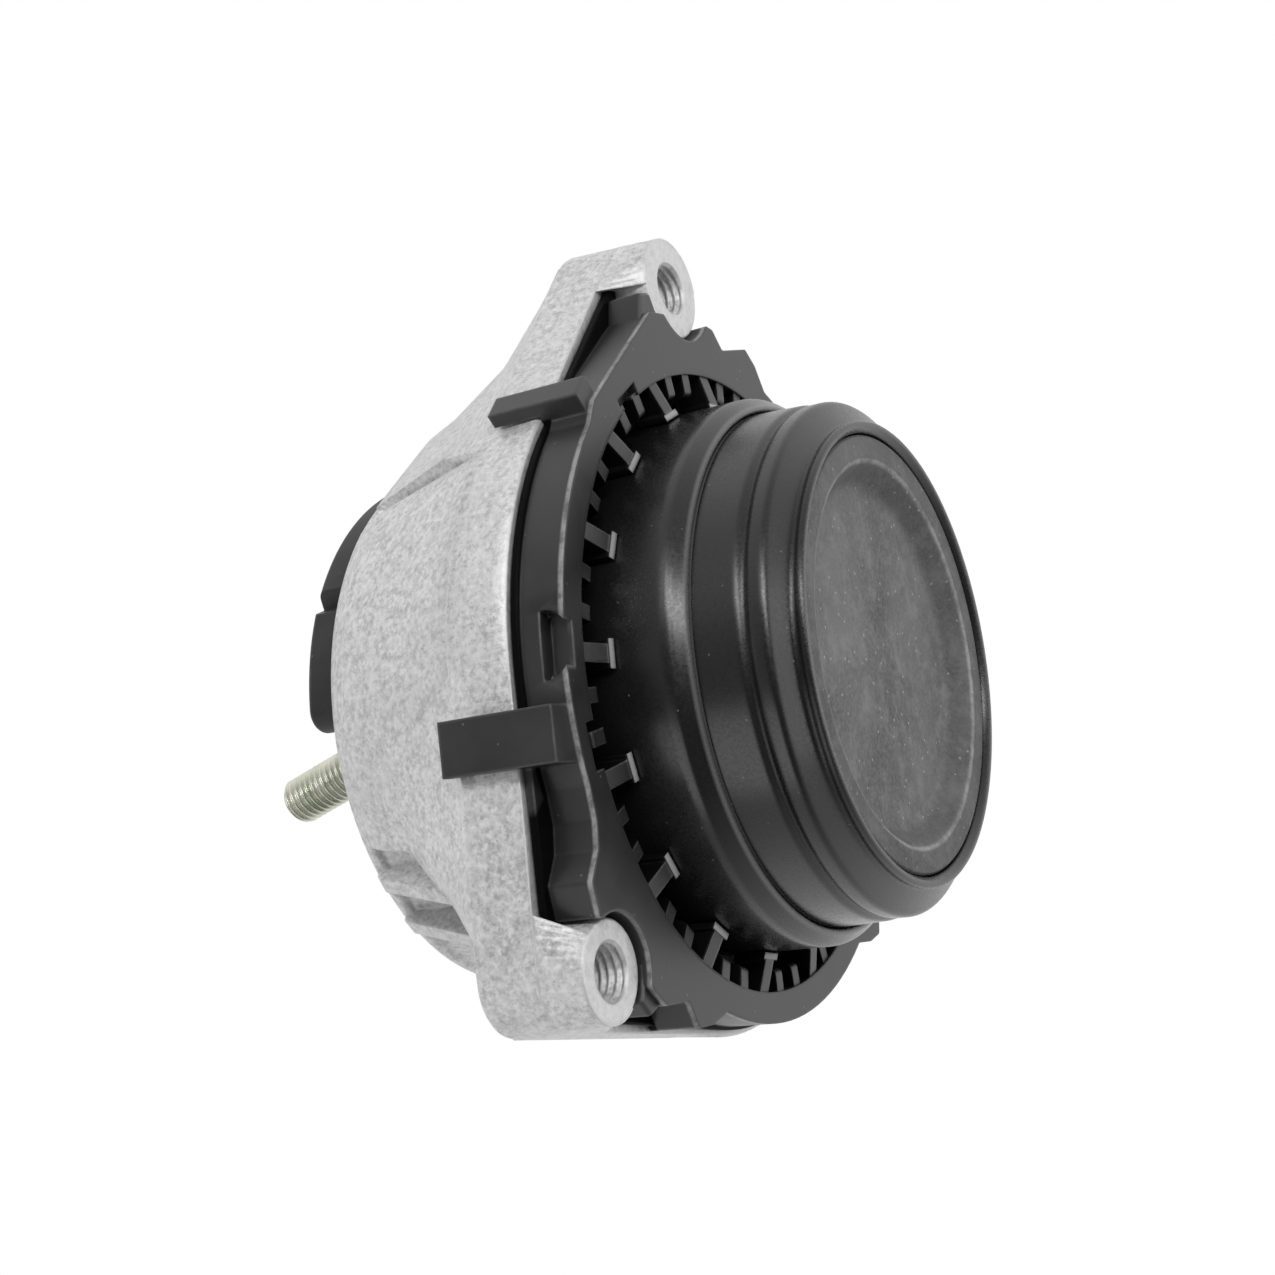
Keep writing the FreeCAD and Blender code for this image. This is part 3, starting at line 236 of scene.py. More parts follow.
    def leaned(self, normal, amount):
        """Normal with an amount added along Z, made a unit again."""
        push = self.node("ShaderNodeCombineXYZ")
        self.link(amount, push.inputs["Z"])
        total = self.node("ShaderNodeVectorMath", operation="ADD")
        self.link(normal, total.inputs[0])
        self.link(push.outputs[0], total.inputs[1])
        unit = self.node("ShaderNodeVectorMath", operation="NORMALIZE")
        self.link(total.outputs["Vector"], unit.inputs[0])
        return unit.outputs["Vector"]

    def edges(self, bevelled):
        """1 where the rounded normal leaves the flat one, at sharp edges."""
        flat = self.node("ShaderNodeNewGeometry").outputs["Normal"]
        dot = self.node("ShaderNodeVectorMath", operation="DOT_PRODUCT")
        self.link(bevelled, dot.inputs[0])
        self.link(flat, dot.inputs[1])
        return self.ramp(dot.outputs["Value"], 0.75, 0.97, 1.0, 0.0)

    def finish(self, colour, rough, metallic=0.0, specular=0.5):
        """Sets what the surface shows and gives the material back."""
        self.link(colour, self.surface.inputs["Base Color"])
        self.link(rough, self.surface.inputs["Roughness"])
        self.link(metallic, self.surface.inputs["Metallic"])
        self.link(specular, self.surface.inputs["Specular IOR Level"])
        return self.material


def grey(level):
    """A grey of one level, opaque."""
    return (level, level, level, 1.0)


def cast_aluminium():
    """Shot-blasted casting: speckled, drawn along Z on the band, bright where it is machined, with
    a painted highlight along its edges.
    """
    paint = Paint("cast_aluminium")
    x, y, z = paint.axes()
    radius = paint.from_axis()
    grain = paint.noise(900.0, 4.0, 0.7)
    blotch = paint.noise(420.0, 4.0, 0.65)
    cloud = paint.noise(45.0, 2.0, 0.5)
    pits = paint.specks(700.0, 0.15)
    streak = paint.noise(1.0, 2.0, 0.6, paint.stretched((1500.0, 1500.0, 45.0)))
    outside = paint.ramp(radius, BAND_INSIDE, BAND_INSIDE + 2 * MM)
    off_ears = paint.ramp(radius, EAR_START, EAR_START + 3 * MM, 1.0, 0.0)
    low = paint.ramp(z, BAND_TOP - 2 * MM, BAND_TOP + 3 * MM, 1.0, 0.0)
    above_foot = paint.ramp(z, BAND_FOOT - 0.5 * MM, BAND_FOOT + 1.5 * MM)
    banded = paint.times(off_ears, low, above_foot, outside)
    drawn = paint.times(banded, 0.4)

    tone = paint.mixed(paint.ramp(grain, 0.36, 0.64), grey(0.47), grey(0.88))
    tone = paint.mixed(paint.times(paint.ramp(blotch, 0.45, 0.62), 0.45), tone, grey(0.90))
    tone = paint.mixed(paint.times(paint.ramp(cloud, 0.45, 0.7), 0.25), tone, grey(0.58))
    tone = paint.mixed(paint.times(paint.ramp(streak, 0.40, 0.64), drawn), tone, grey(0.80))
    tone = paint.mixed(paint.times(pits, 0.5), tone, grey(0.30))

    cut_face = paint.between(z, (BAND_FOOT - 0.2 * MM, BAND_FOOT - 0.1 * MM),
                             (BAND_FOOT + 0.25 * MM, BAND_FOOT + 0.45 * MM))
    cut_face = paint.times(cut_face, outside)
    boss_face = paint.ramp(z, HOLE_FOOT + 0.25 * MM, HOLE_FOOT + 0.5 * MM, 1.0, 0.0)
    machined = paint.math("MAXIMUM", cut_face, boss_face)
    tone = paint.mixed(paint.times(machined, 0.6), tone, grey(0.62))

    height = paint.math("ADD", paint.times(grain, 0.6), blotch)
    height = paint.math("ADD", height, paint.times(streak, drawn))
    bevelled = paint.rounded(0.6 * MM, height, 0.6, 0.25 * MM)
    # Painted highlight: the edges are made paler where the rounded normal turns away from the flat
    # one.
    tone = paint.mixed(paint.times(paint.edges(bevelled), 0.85), tone, grey(0.92))
    rough = paint.ramp(grain, 0.3, 0.7, 0.42, 0.6)
    return paint.finish(tone, rough, 0.55)


def ring_plastic():
    """Glass-filled black moulding with a soft sheen. Its edges and its front edge carry pale lines
    that are partly worn and partly painted highlight, and its rib tips a painted highlight.

    Painted shade makes it near black in the hollows of its bore and at the rear flange, which lies
    in the casting's shade.
    """
    paint = Paint("ring_plastic")
    x, y, z = paint.axes()
    radius = paint.from_axis()
    front = paint.facing_front()
    upright = paint.ramp(front, 0.0, 1.0, 1.0, 0.0)
    grain = paint.noise(1200.0, 3.0, 0.6)
    cloud = paint.noise(60.0, 3.0, 0.6)
    wear_and_highlight_noise = paint.noise(420.0, 3.0, 0.7)

    tone = paint.mixed(paint.ramp(cloud, 0.35, 0.7), grey(0.017), grey(0.032))
    tone = paint.mixed(paint.times(paint.specks(260.0, 0.07), 0.4), tone, grey(0.25))
    bevelled = paint.rounded(0.8 * MM, grain, 0.18, 0.1 * MM)
    # Pale along sharp edges, partly worn and partly painted highlight, broken up by noise.
    edge_wear_and_highlight = paint.times(paint.edges(bevelled), paint.ramp(wear_and_highlight_noise, 0.35, 0.6, 0.3, 0.9), 0.5)
    tone = paint.mixed(edge_wear_and_highlight, tone, grey(0.24))

    # A pale line round the front outer edge of the skirt, partly worn and partly painted highlight.
    skirt = paint.times(paint.ramp(radius, RING_BORE + 3 * MM, RING_BORE + 3.5 * MM), upright)
    front_edge = paint.ramp(z, RING_FRONT + 0.7 * MM, RING_FRONT + 1.1 * MM, 1.0, 0.0)
    front_edge_wear_and_highlight = paint.times(skirt, front_edge, paint.ramp(wear_and_highlight_noise, 0.35, 0.6, 0.35, 1.0))
    tone = paint.mixed(front_edge_wear_and_highlight, tone, grey(0.32))

    # Painted shade: the bore's inner faces that do not look to the front are made near black.
    inside = paint.ramp(radius, RING_BORE - 0.1 * MM, RING_BORE, 1.0, 0.0)
    hollow = paint.times(inside, paint.ramp(front, 0.0, 1.0, 0.92, 0.0))
    tone = paint.mixed(hollow, tone, grey(0.003))
    # Painted highlight: the front faces of the rib tips are made pale.
    head_end = BARREL_RADIUS + RIB_HEAD
    tip = paint.times(front, paint.ramp(radius, head_end + 0.1 * MM, head_end + 0.4 * MM, 0.9, 0.0))
    tone = paint.mixed(tip, tone, grey(0.42))

    # Painted shade: the rear flange, outside the skirt and beside the ears, is made near black
    # where it lies in the casting's shade.
    rear = paint.ramp(radius, RING_SKIRT - 0.2 * MM, RING_SKIRT + 0.2 * MM, 1.0, 0.0)
    for degrees, reach in zip(EAR_ANGLES, HORN_REACHES):
        rear = paint.math("MAXIMUM", rear, paint.beside_ear(degrees, reach))
    flange_front = RING_BACK - REAR_FLANGE
    rear = paint.times(rear, paint.ramp(z, flange_front - 0.2 * MM, flange_front + 0.2 * MM))
    tone = paint.mixed(rear, tone, grey(0.003))
    gloss = paint.ramp(paint.math("MAXIMUM", rear, hollow), 0.0, 1.0, 0.6, 0.05)
    return paint.finish(tone, paint.ramp(cloud, 0.3, 0.7, 0.34, 0.44), 0.0, gloss)


def black_sheet():
    """Pressed sheet under satin black paint, dusty, with the barrel's shoulder crowned and a
    painted highlight along its lip.
    """
    paint = Paint("black_sheet")
    x, y, z = paint.axes()
    radius = paint.from_axis()
    peel = paint.noise(420.0, 2.0, 0.5)
    cloud = paint.noise(30.0, 3.0, 0.6)
    grain = paint.noise(1700.0, 2.0, 0.6)
    tone = paint.mixed(paint.ramp(cloud, 0.35, 0.7), grey(0.005), grey(0.010))
    tone = paint.mixed(paint.times(paint.specks(320.0, 0.06), 0.5), tone, grey(0.3))

    # Painted highlight: a pale line along the edge of the barrel's rolled lip.
    lip = paint.between(z, (BARREL_FOOT - 0.1 * MM, BARREL_FOOT - 0.05 * MM),
                        (BARREL_FOOT + 0.3 * MM, BARREL_FOOT + 0.7 * MM))
    lip = paint.times(lip, paint.ramp(radius, BARREL_LIP - 0.2 * MM, BARREL_LIP + 0.2 * MM), 0.8)
    tone = paint.mixed(lip, tone, grey(0.13))

    crown = paint.ramp(z, SHOULDER, SHOULDER + SHOULDER_REACH, -0.5, 0.0)
    on_wall = paint.ramp(radius, BARREL_RADIUS - 0.3 * MM, BARREL_RADIUS - 0.1 * MM)
    height = paint.math("ADD", paint.times(grain, 0.6), peel)
    paint.rounded(1.1 * MM, height, 0.08, 0.1 * MM, paint.times(crown, on_wall))
    rough = paint.math("ADD", paint.ramp(cloud, 0.3, 0.7, 0.24, 0.30),
                       paint.ramp(grain, 0.35, 0.65, -0.03, 0.05))
    return paint.finish(tone, rough, 0.0, 0.75)


def cap_rubber():
    """Matte cap, dusty and specked, darker on its outer land, with painted shade on its dish's
    slope and a painted highlight round the edge of its dish.
    """
    paint = Paint("cap_rubber")
    radius = paint.from_axis()
    cloud = paint.noise(38.0, 4.0, 0.65)
    scuffs_and_highlight_noise = paint.noise(190.0, 4.0, 0.75)
    grain = paint.noise(1600.0, 2.0, 0.6)
    tone = paint.mixed(paint.ramp(cloud, 0.34, 0.66), grey(0.06), grey(0.16))
    tone = paint.mixed(paint.times(paint.ramp(scuffs_and_highlight_noise, 0.48, 0.66), 0.5), tone, grey(0.27))
    tone = paint.mixed(paint.times(paint.ramp(grain, 0.4, 0.65), 0.4), tone, grey(0.22))
    tone = paint.mixed(paint.times(paint.specks(420.0, 0.13), 0.7), tone, grey(0.5))

    # Darker on the outer land, and painted shade on the dish's slope.
    land = paint.ramp(radius, DISH_EDGE, DISH_EDGE + 0.5 * MM, 0.0, 0.35)
    slope = paint.between(radius, (DISH_FLOOR - 1 * MM, DISH_FLOOR + 1 * MM),
                          (DISH_EDGE - 1 * MM, DISH_EDGE))
    tone = paint.mixed(paint.math("ADD", land, paint.times(slope, 0.3)), tone, grey(0.03))
    # Painted highlight: a pale line round the dish's edge, broken up by noise.
    lip = paint.between(radius, (DISH_EDGE - 0.6 * MM, DISH_EDGE - 0.2 * MM),
                        (DISH_EDGE + 0.1 * MM, DISH_EDGE + 0.5 * MM))
    lip = paint.times(lip, paint.ramp(scuffs_and_highlight_noise, 0.4, 0.6, 0.15, 0.6))
    tone = paint.mixed(lip, tone, grey(0.42))

    height = paint.math("ADD", grain, paint.times(cloud, 2.0))
    paint.rounded(0.4 * MM, height, 0.35, 0.15 * MM)
    return paint.finish(tone, 0.58, 0.0, 0.35)


def dark_rubber(name, low, high, rough):
    """Moulded rubber with a little bloom."""
    paint = Paint(name)
    cloud = paint.noise(90.0, 4.0, 0.6)
    grain = paint.noise(1400.0, 2.0, 0.6)
    tone = paint.mixed(paint.ramp(cloud, 0.35, 0.7), grey(low), grey(high))
    tone = paint.mixed(paint.times(paint.specks(330.0, 0.07), 0.4), tone, grey(0.3))
    paint.rounded(0.4 * MM, grain, 0.25, 0.12 * MM)
    return paint.finish(tone, rough, 0.0, 0.4)


def bare_metal(name, level, rough):
    """Plain machined metal on the pieces inside."""
    paint = Paint(name)
    grain = paint.noise(900.0, 3.0, 0.6)
    tone = paint.mixed(paint.ramp(grain, 0.35, 0.65), grey(level * 0.85), grey(level))
    paint.rounded(0.3 * MM, grain, 0.2, 0.1 * MM)
    return paint.finish(tone, rough, 0.85)


def zinc_steel():
    """Yellow passivated zinc with a green and pink cast."""
    paint = Paint("zinc_steel")
    cast = paint.noise(240.0, 3.0, 0.6)
    grain = paint.noise(2200.0, 2.0, 0.6)
    tone = paint.mixed(paint.ramp(cast, 0.36, 0.62), (0.60, 0.64, 0.50, 1.0),
                       (0.80, 0.80, 0.68, 1.0))
    tone = paint.mixed(paint.times(paint.ramp(grain, 0.4, 0.7), 0.4), tone,
                       (0.86, 0.87, 0.78, 1.0))
    paint.rounded(0.15 * MM, grain, 0.15, 0.05 * MM)
    return paint.finish(tone, paint.ramp(cast, 0.3, 0.7, 0.3, 0.42), 0.85)


PAINTS = {
    "housing": cast_aluminium(),
    "retaining_ring": ring_plastic(),
    "canister_barrel": black_sheet(),
    "end_cap": cap_rubber(),
    "stop_cover": dark_rubber("stop_rubber", 0.016, 0.034, 0.5),
    "spring_rubber": dark_rubber("spring_rubber", 0.012, 0.024, 0.6),
    "rolling_diaphragm": dark_rubber("inner_rubber", 0.014, 0.026, 0.6),
    "upper_channel_plate": bare_metal("plate_alloy", 0.6, 0.4),
    "inner_core": bare_metal("core_alloy", 0.55, 0.45),
    "stud": zinc_steel(),
}
SAME_PAINT = {
    "base_cup": "canister_barrel",
    "spring_outer_ring": "canister_barrel",
    "stop_plate": "canister_barrel",
    "decoupler_disc": "rolling_diaphragm",
    "lower_channel_plate": "upper_channel_plate",
}
for name, node in nodes.items():
    node.data.materials.clear()
    node.data.materials.append(PAINTS[SAME_PAINT.get(name, name)])


# Meshes


def mesh_piece(name, points, faces, material, smooth=True):
    """A new piece of the object from points and faces in metres."""
    mesh = bpy.data.meshes.new(name)
    mesh.from_pydata(points, [], faces)
    mesh.validate()
    mesh.polygons.foreach_set("use_smooth", [smooth] * len(mesh.polygons))
    mesh.materials.append(material)
    piece = bpy.data.objects.new(name, mesh)
    scene.collection.objects.link(piece)
    return piece


def outward(piece):
    """Turns every face of a closed mesh outwards."""
    work = bmesh.new()
    work.from_mesh(piece.data)
    bmesh.ops.recalc_face_normals(work, faces=work.faces)
    work.to_mesh(piece.data)
    work.free()


def at_ear(angle):
    """Carries what is drawn about the Z axis, with +X outwards, to an ear's boss."""
    return Matrix.Rotation(angle, 4, "Z") @ Matrix.Translation((EAR_CIRCLE, 0, 0))


def hide_cutter(cutter):
    """Leaves a Boolean's cutter out of the picture and of the object's pieces."""
    cutter.hide_render = True
    cutter.hide_viewport = True


def cut(node, name, cutter):
    """Takes a cutter's volume out of a frame node, by a modifier."""
    made = node.modifiers.new(name, "BOOLEAN")
    made.operation = "DIFFERENCE"
    made.solver = "EXACT"
    made.object = cutter


# Screw threads


def thread_depth(turns, flat=0.14):
    """Share of the thread's depth at so many turns: 0 at the crest, 1 at the root."""
    share = turns % 1.0
    flank = 0.5 - flat
    if share < flat:
        return 0.0
    if share < flat + flank:
        return (share - flat) / flank
    if share < 2 * flat + flank:
        return 1.0
    return 1.0 - (share - 2 * flat - flank) / flank


def turned_grid(rows, around, radius_at):
    """Points and faces of a tube about Z; radius_at gives the radius at a row and a turn."""
    points = []
    faces = []
    for row, height in enumerate(rows):
        for step in range(around):
            turn = step / around
            radius = radius_at(row, height, turn)
            angle = 2 * math.pi * turn
            points.append((radius * math.cos(angle), radius * math.sin(angle), height))
    for row in range(len(rows) - 1):
        for step in range(around):
            after = (step + 1) % around
            first = row * around
            second = first + around
            faces.append((first + step, first + after, second + after, second + step))
    return points, faces


def threaded_stud():
    """The stud with its collar, its thread and its chamfered tip."""
    around = 56
    steps = 14
    thread_rows = []
    height = STUD_THREAD_FOOT
    while height < STUD_TIP:
        thread_rows.append(height)
        height += THREAD_PITCH / steps
    plain = [
        (STUD_ROOT, THREAD_MINOR),
        (STUD_ROOT, THREAD_MAJOR),
        (STUD_COLLAR_FOOT, THREAD_MAJOR),
        (STUD_COLLAR_FOOT, STUD_COLLAR_RADIUS - STUD_EDGE),
        (STUD_COLLAR_FOOT + STUD_EDGE, STUD_COLLAR_RADIUS),
        (STUD_COLLAR_TOP - STUD_EDGE, STUD_COLLAR_RADIUS),
        (STUD_COLLAR_TOP, STUD_COLLAR_RADIUS - STUD_EDGE),
        (STUD_COLLAR_TOP, THREAD_MINOR + 0.3 * MM),
        (STUD_COLLAR_TOP + 0.2 * MM, THREAD_MINOR + 0.1 * MM),
    ]
    rows = [height for height, radius in plain] + thread_rows + [STUD_TIP]
    first_thread = len(plain)

    def radius_at(row, height, turn):
        if row < first_thread:
            return plain[row][1]
        depth = thread_depth(height / THREAD_PITCH - turn)
        run_in = min(1.0, (height - STUD_THREAD_FOOT) / (1.5 * THREAD_PITCH))
        crest = THREAD_MINOR + (THREAD_MAJOR - THREAD_MINOR) * run_in
        radius = crest - (crest - THREAD_MINOR) * depth
        tip_cone = THREAD_MAJOR - TIP_CHAMFER + (STUD_TIP - height)
        return min(radius, tip_cone)

    points, faces = turned_grid(rows, around, radius_at)
    last = len(points)
    points.append((0.0, 0.0, STUD_TIP))
    points.append((0.0, 0.0, STUD_ROOT))
    top = (len(rows) - 1) * around
    for step in range(around):
        after = (step + 1) % around
        faces.append((top + step, top + after, last))
        faces.append((after, step, last + 1))
    piece = mesh_piece("stud_thread", points, faces, PAINTS["stud"])
    turn = Matrix.Rotation(-STUD_LEAN, 4, "Y")
    piece.data.transform(Matrix.Translation(STUD_FOOT) @ turn)
    return piece


stud = threaded_stud()
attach(stud, "root")
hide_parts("stud")


def hole_thread(name, angle):
    """The inside of one tapped ear hole, crest inwards."""
    around = 48
    steps = 12
    count = int(HOLE_DEPTH / THREAD_PITCH * steps)
    mouth = 0.9 * MM
    rows = [HOLE_FOOT + HOLE_DEPTH * i / count for i in range(count + 1)]

    def radius_at(row, height, turn):
        depth = thread_depth(height / THREAD_PITCH + turn)
        radius = HOLE_MINOR + (HOLE_MAJOR - HOLE_MINOR) * depth
        if row in (0, count):
            return HOLE_MAJOR
        open_up = HOLE_MAJOR - (height - HOLE_FOOT) * (HOLE_MAJOR - HOLE_MINOR) / mouth
        return max(radius, open_up)

    points, faces = turned_grid(rows, around, radius_at)
    faces = [tuple(reversed(face)) for face in faces]
    piece = mesh_piece(name, points, faces, PAINTS["housing"])
    piece.location = (EAR_CIRCLE * math.cos(angle), EAR_CIRCLE * math.sin(angle), 0.0)
    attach(piece, "root")


def hole_cutter(name, angle):
    """A plug that opens the plain drilled hole up to the thread's major radius."""
    sides = 48
    low = HOLE_FOOT - 2 * MM
    high = HOLE_FOOT + HOLE_DEPTH
    points, faces = turned_grid([low, high], sides, lambda row, height, turn: HOLE_MAJOR)
    faces.append(tuple(reversed(range(sides))))
    faces.append(tuple(range(sides, 2 * sides)))
    plug = mesh_piece(name, points, faces, PAINTS["housing"], smooth=False)
    plug.location = (EAR_CIRCLE * math.cos(angle), EAR_CIRCLE * math.sin(angle), 0.0)
    hide_cutter(plug)
    return plug


for number, degrees in enumerate(EAR_ANGLES, start=1):
    angle = math.radians(degrees)
    hole_thread("ear_thread_%d" % number, angle)
    cut(nodes["housing"], "widen_%d" % number, hole_cutter("ear_plug_%d" % number, angle))


# Ears: noses that run down to the boss faces, and the ring's pads behind the bosses


def ear_nose(name, angle, radius):
    """Flaring flank between a boss face and the foot of the ear behind it.

    Its side runs straight from the band's circle to the boss, as the ear's own side does.
    """
    side_steps = 6
    arc_steps = 14
    core = HOLE_MAJOR + 1.2 * MM
    core_foot = HOLE_FOOT + 0.3 * MM
    foot_radius = radius + BOSS_SPREAD
    lean = math.acos((BAND_CIRCLE - foot_radius) / EAR_CIRCLE)
    slope = math.tan(math.pi / 2 - lean)
    touch_x = foot_radius * math.cos(lean)
    touch_y = foot_radius * math.sin(lean)
    low = []
    high = []
    for step in range(side_steps):
        share = step / side_steps
        turn = math.pi / 2 - (math.pi / 2 - lean) * share
        low.append((radius * math.cos(turn), radius * math.sin(turn)))
        x = touch_x * share
        high.append((x, touch_y + (touch_x - x) * slope))
    for step in range(arc_steps + 1):
        turn = lean - 2 * lean * step / arc_steps
        low.append((radius * math.cos(turn), radius * math.sin(turn)))
        high.append((foot_radius * math.cos(turn), foot_radius * math.sin(turn)))
    low += [(x, -y) for x, y in reversed(low[:side_steps])]
    high += [(x, -y) for x, y in reversed(high[:side_steps])]
    count = len(low)
    turns = [math.pi / 2 - math.pi * i / (count - 1) for i in range(count)]
    inside = [(core * math.cos(turn), core * math.sin(turn)) for turn in turns]
    loops = [(low, HOLE_FOOT), (high, BAND_FOOT), (inside, BAND_FOOT), (inside, core_foot)]
    points = [(x, y, z) for loop, z in loops for x, y in loop]
    faces = []
    for row in range(4):
        after = (row + 1) % 4
        for i in range(count - 1):
            faces.append((row * count + i, row * count + i + 1,
                          after * count + i + 1, after * count + i))
    faces.append(tuple(row * count for row in range(4)))
    faces.append(tuple(row * count + count - 1 for row in reversed(range(4))))
    piece = mesh_piece(name, points, faces, PAINTS["housing"], smooth=False)
    piece.data.transform(at_ear(angle))
    outward(piece)
    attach(piece, "root")


def horn_pad(name, angle, radius, side):
    """Plastic strip of the ring's horn behind a boss, under the ear's shoulder on one side."""
    away = radius + 0.75 * MM
    depth = 13.0 * MM
    outline = [(-1.9 * MM, -away), (-2.2 * MM, -away - 3.4 * MM), (-7.5 * MM, -away - 5.2 * MM),
               (-depth, -away - 4.0 * MM), (-depth, -away + 4.0 * MM)]
    outline += [(-away * math.sin(turn), -away * math.cos(turn))
                for turn in (math.radians(degrees) for degrees in (50, 38, 26))]
    rows = [(33.4 * MM, 0.5 * MM), (33.9 * MM, 0.0), (39.5 * MM, 0.0), (41.3 * MM, 0.6 * MM)]
    count = len(outline)
    last = len(rows) - 1
    points = [(x - inset, y * side, z) for z, inset in rows for x, y in outline]
    faces = [tuple(range(count)), tuple(range(last * count, (last + 1) * count))]
    for row in range(last):
        for i in range(count):
            after = (i + 1) % count
            faces.append((row * count + i, row * count + after,
                          (row + 1) * count + after, (row + 1) * count + i))
    piece = mesh_piece(name, points, faces, PAINTS["retaining_ring"], smooth=False)
    piece.data.transform(at_ear(angle))
    outward(piece)
    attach(piece, "root")


for number, (degrees, radius, side) in enumerate(zip(EAR_ANGLES, BOSS_RADII, HORN_SIDES), start=1):
    ear_nose("ear_nose_%d" % number, math.radians(degrees), radius)
    horn_pad("horn_pad_%d" % number, math.radians(degrees), radius, side)


# Ring ribs: thin webs with T heads that lean to the front, and arched fins between them


def radial_prism(profile, width, angle):
    """Points and faces of a flat profile in radius and height, standing on a radius."""
    across = Vector((-math.sin(angle), math.cos(angle), 0.0))
    along = Vector((math.cos(angle), math.sin(angle), 0.0))
    points = []
    for side in (-0.5, 0.5):
        for radius, height in profile:
            points.append(along * radius + across * width * side + Vector((0, 0, height)))
    count = len(profile)
    faces = [tuple(range(count)), tuple(reversed(range(count, 2 * count)))]
    for i in range(count):
        after = (i + 1) % count
        faces.append((i, i + count, after + count, after))
    return points, faces


def slanted(inner, outer, foot, height, lean_inner, lean_outer):
    """Profile of a rib whose inner and outer ends lean forward by so much."""
    return [(outer, foot - lean_outer), (outer, foot + height - lean_outer),
            (inner, foot + height - lean_inner), (inner, foot - lean_inner)]


def arched_fin(root, foot):
    """Profile of a fin with a flat front that arches away to the back at its tip."""
    land = 3.2 * MM
    reach = 1.6 * MM
    rise = 4.6 * MM
    steps = 8
    edge = RING_BORE - land
    back = RING_BACK - 1 * MM
    turns = [math.pi / 2 * step / steps for step in range(steps + 1)]
    arch = [(edge - reach * math.sin(turn), foot + rise * (1 - math.cos(turn))) for turn in turns]
    return [(root, foot)] + arch + [(edge - reach, back), (root, back)]


def ring_ribs():
    """The ribs with their T heads and the two fins after each, as one piece."""
    tip = BARREL_RADIUS + 0.35 * MM
    root = RING_BORE + 0.6 * MM
    foot = RING_FRONT + 0.5 * MM
    depth = 6.2 * MM
    web_width = 3.2 * MM
    head_width = 5.0 * MM
    fin_width = 2.6 * MM
    web = slanted(tip, root, foot, depth, RIB_LEAN, 0.0)
    head_lean = RIB_LEAN * (1 - RIB_HEAD / (root - tip))
    head = slanted(tip, tip + RIB_HEAD, foot - 0.15 * MM, depth, RIB_LEAN, head_lean)
    fin = arched_fin(root, foot)
    pitch = 2 * math.pi / RIB_COUNT
    points = []
    faces = []
    for number in range(RIB_COUNT):
        angle = RIB_PHASE + number * pitch
        prisms = [(web, web_width, angle), (head, head_width, angle),
                  (fin, fin_width, angle + pitch / 3), (fin, fin_width, angle + 2 * pitch / 3)]
        for profile, width, turn in prisms:
            more, sides = radial_prism(profile, width, turn)
            faces += [tuple(corner + len(points) for corner in side) for side in sides]
            points += more
    piece = mesh_piece("ring_ribs", points, faces, PAINTS["retaining_ring"], smooth=False)
    outward(piece)
    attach(piece, "root")


def tube_cutter(name, inner, outer, low, high):
    """A tube that clears the CAD's wider ribs out of the ring's bore."""
    sides = 128
    rows = [(inner, low), (outer, low), (outer, high), (inner, high)]
    points = []
    faces = []
    for radius, height in rows:
        for step in range(sides):
            angle = 2 * math.pi * step / sides
            points.append((radius * math.cos(angle), radius * math.sin(angle), height))
    for row in range(4):
        after = (row + 1) % 4
        for step in range(sides):
            beside = (step + 1) % sides
            faces.append((row * sides + step, row * sides + beside,
                          after * sides + beside, after * sides + step))
    tube = mesh_piece(name, points, faces, PAINTS["retaining_ring"], smooth=False)
    outward(tube)
    hide_cutter(tube)
    return tube


cut(nodes["retaining_ring"], "clear_ribs",
    tube_cutter("rib_cutter", BARREL_RADIUS - 1 * MM, RING_BORE + 0.02 * MM,
                RING_FRONT - 6 * MM, RING_BACK + 4 * MM))
ring_ribs()


# Floor: a pale sheet with the object's shadow, which only the camera sees, and only from above


def floor_material():
    """Pale paper on its upper side, clear from below and to every ray but the camera's."""
    paint = Paint("floor_paper")
    paint.finish(grey(0.86), 0.6, 0.0, 0.2)
    rays = paint.node("ShaderNodeLightPath")
    facing = paint.node("ShaderNodeNewGeometry")
    front = paint.math("SUBTRACT", 1.0, facing.outputs["Backfacing"])
    shown = paint.times(rays.outputs["Is Camera Ray"], front)
    clear = paint.node("ShaderNodeBsdfTransparent")
    mix = paint.node("ShaderNodeMixShader")
    paint.link(shown, mix.inputs[0])
    paint.link(clear.outputs["BSDF"], mix.inputs[1])
    paint.link(paint.surface.outputs["BSDF"], mix.inputs[2])
    paint.link(mix.outputs["Shader"], paint.output.inputs["Surface"])
    return paint.material


FLOOR_HALF = 3.0
FLOOR_GAP = 0.05 * MM
corners = [(-FLOOR_HALF, -FLOOR_HALF, 0), (FLOOR_HALF, -FLOOR_HALF, 0),
           (FLOOR_HALF, FLOOR_HALF, 0), (-FLOOR_HALF, FLOOR_HALF, 0)]
floor = mesh_piece("floor", corners, [(0, 1, 2, 3)], floor_material(), smooth=False)
floor.location.z = -FLOOR_GAP

# World: white to the camera, soft grey as light, and to mirrors dark in front and white behind

AMBIENT = 0.30
MIRRORED_FRONT = 0.10
MIRRORED_BACK = 1.0

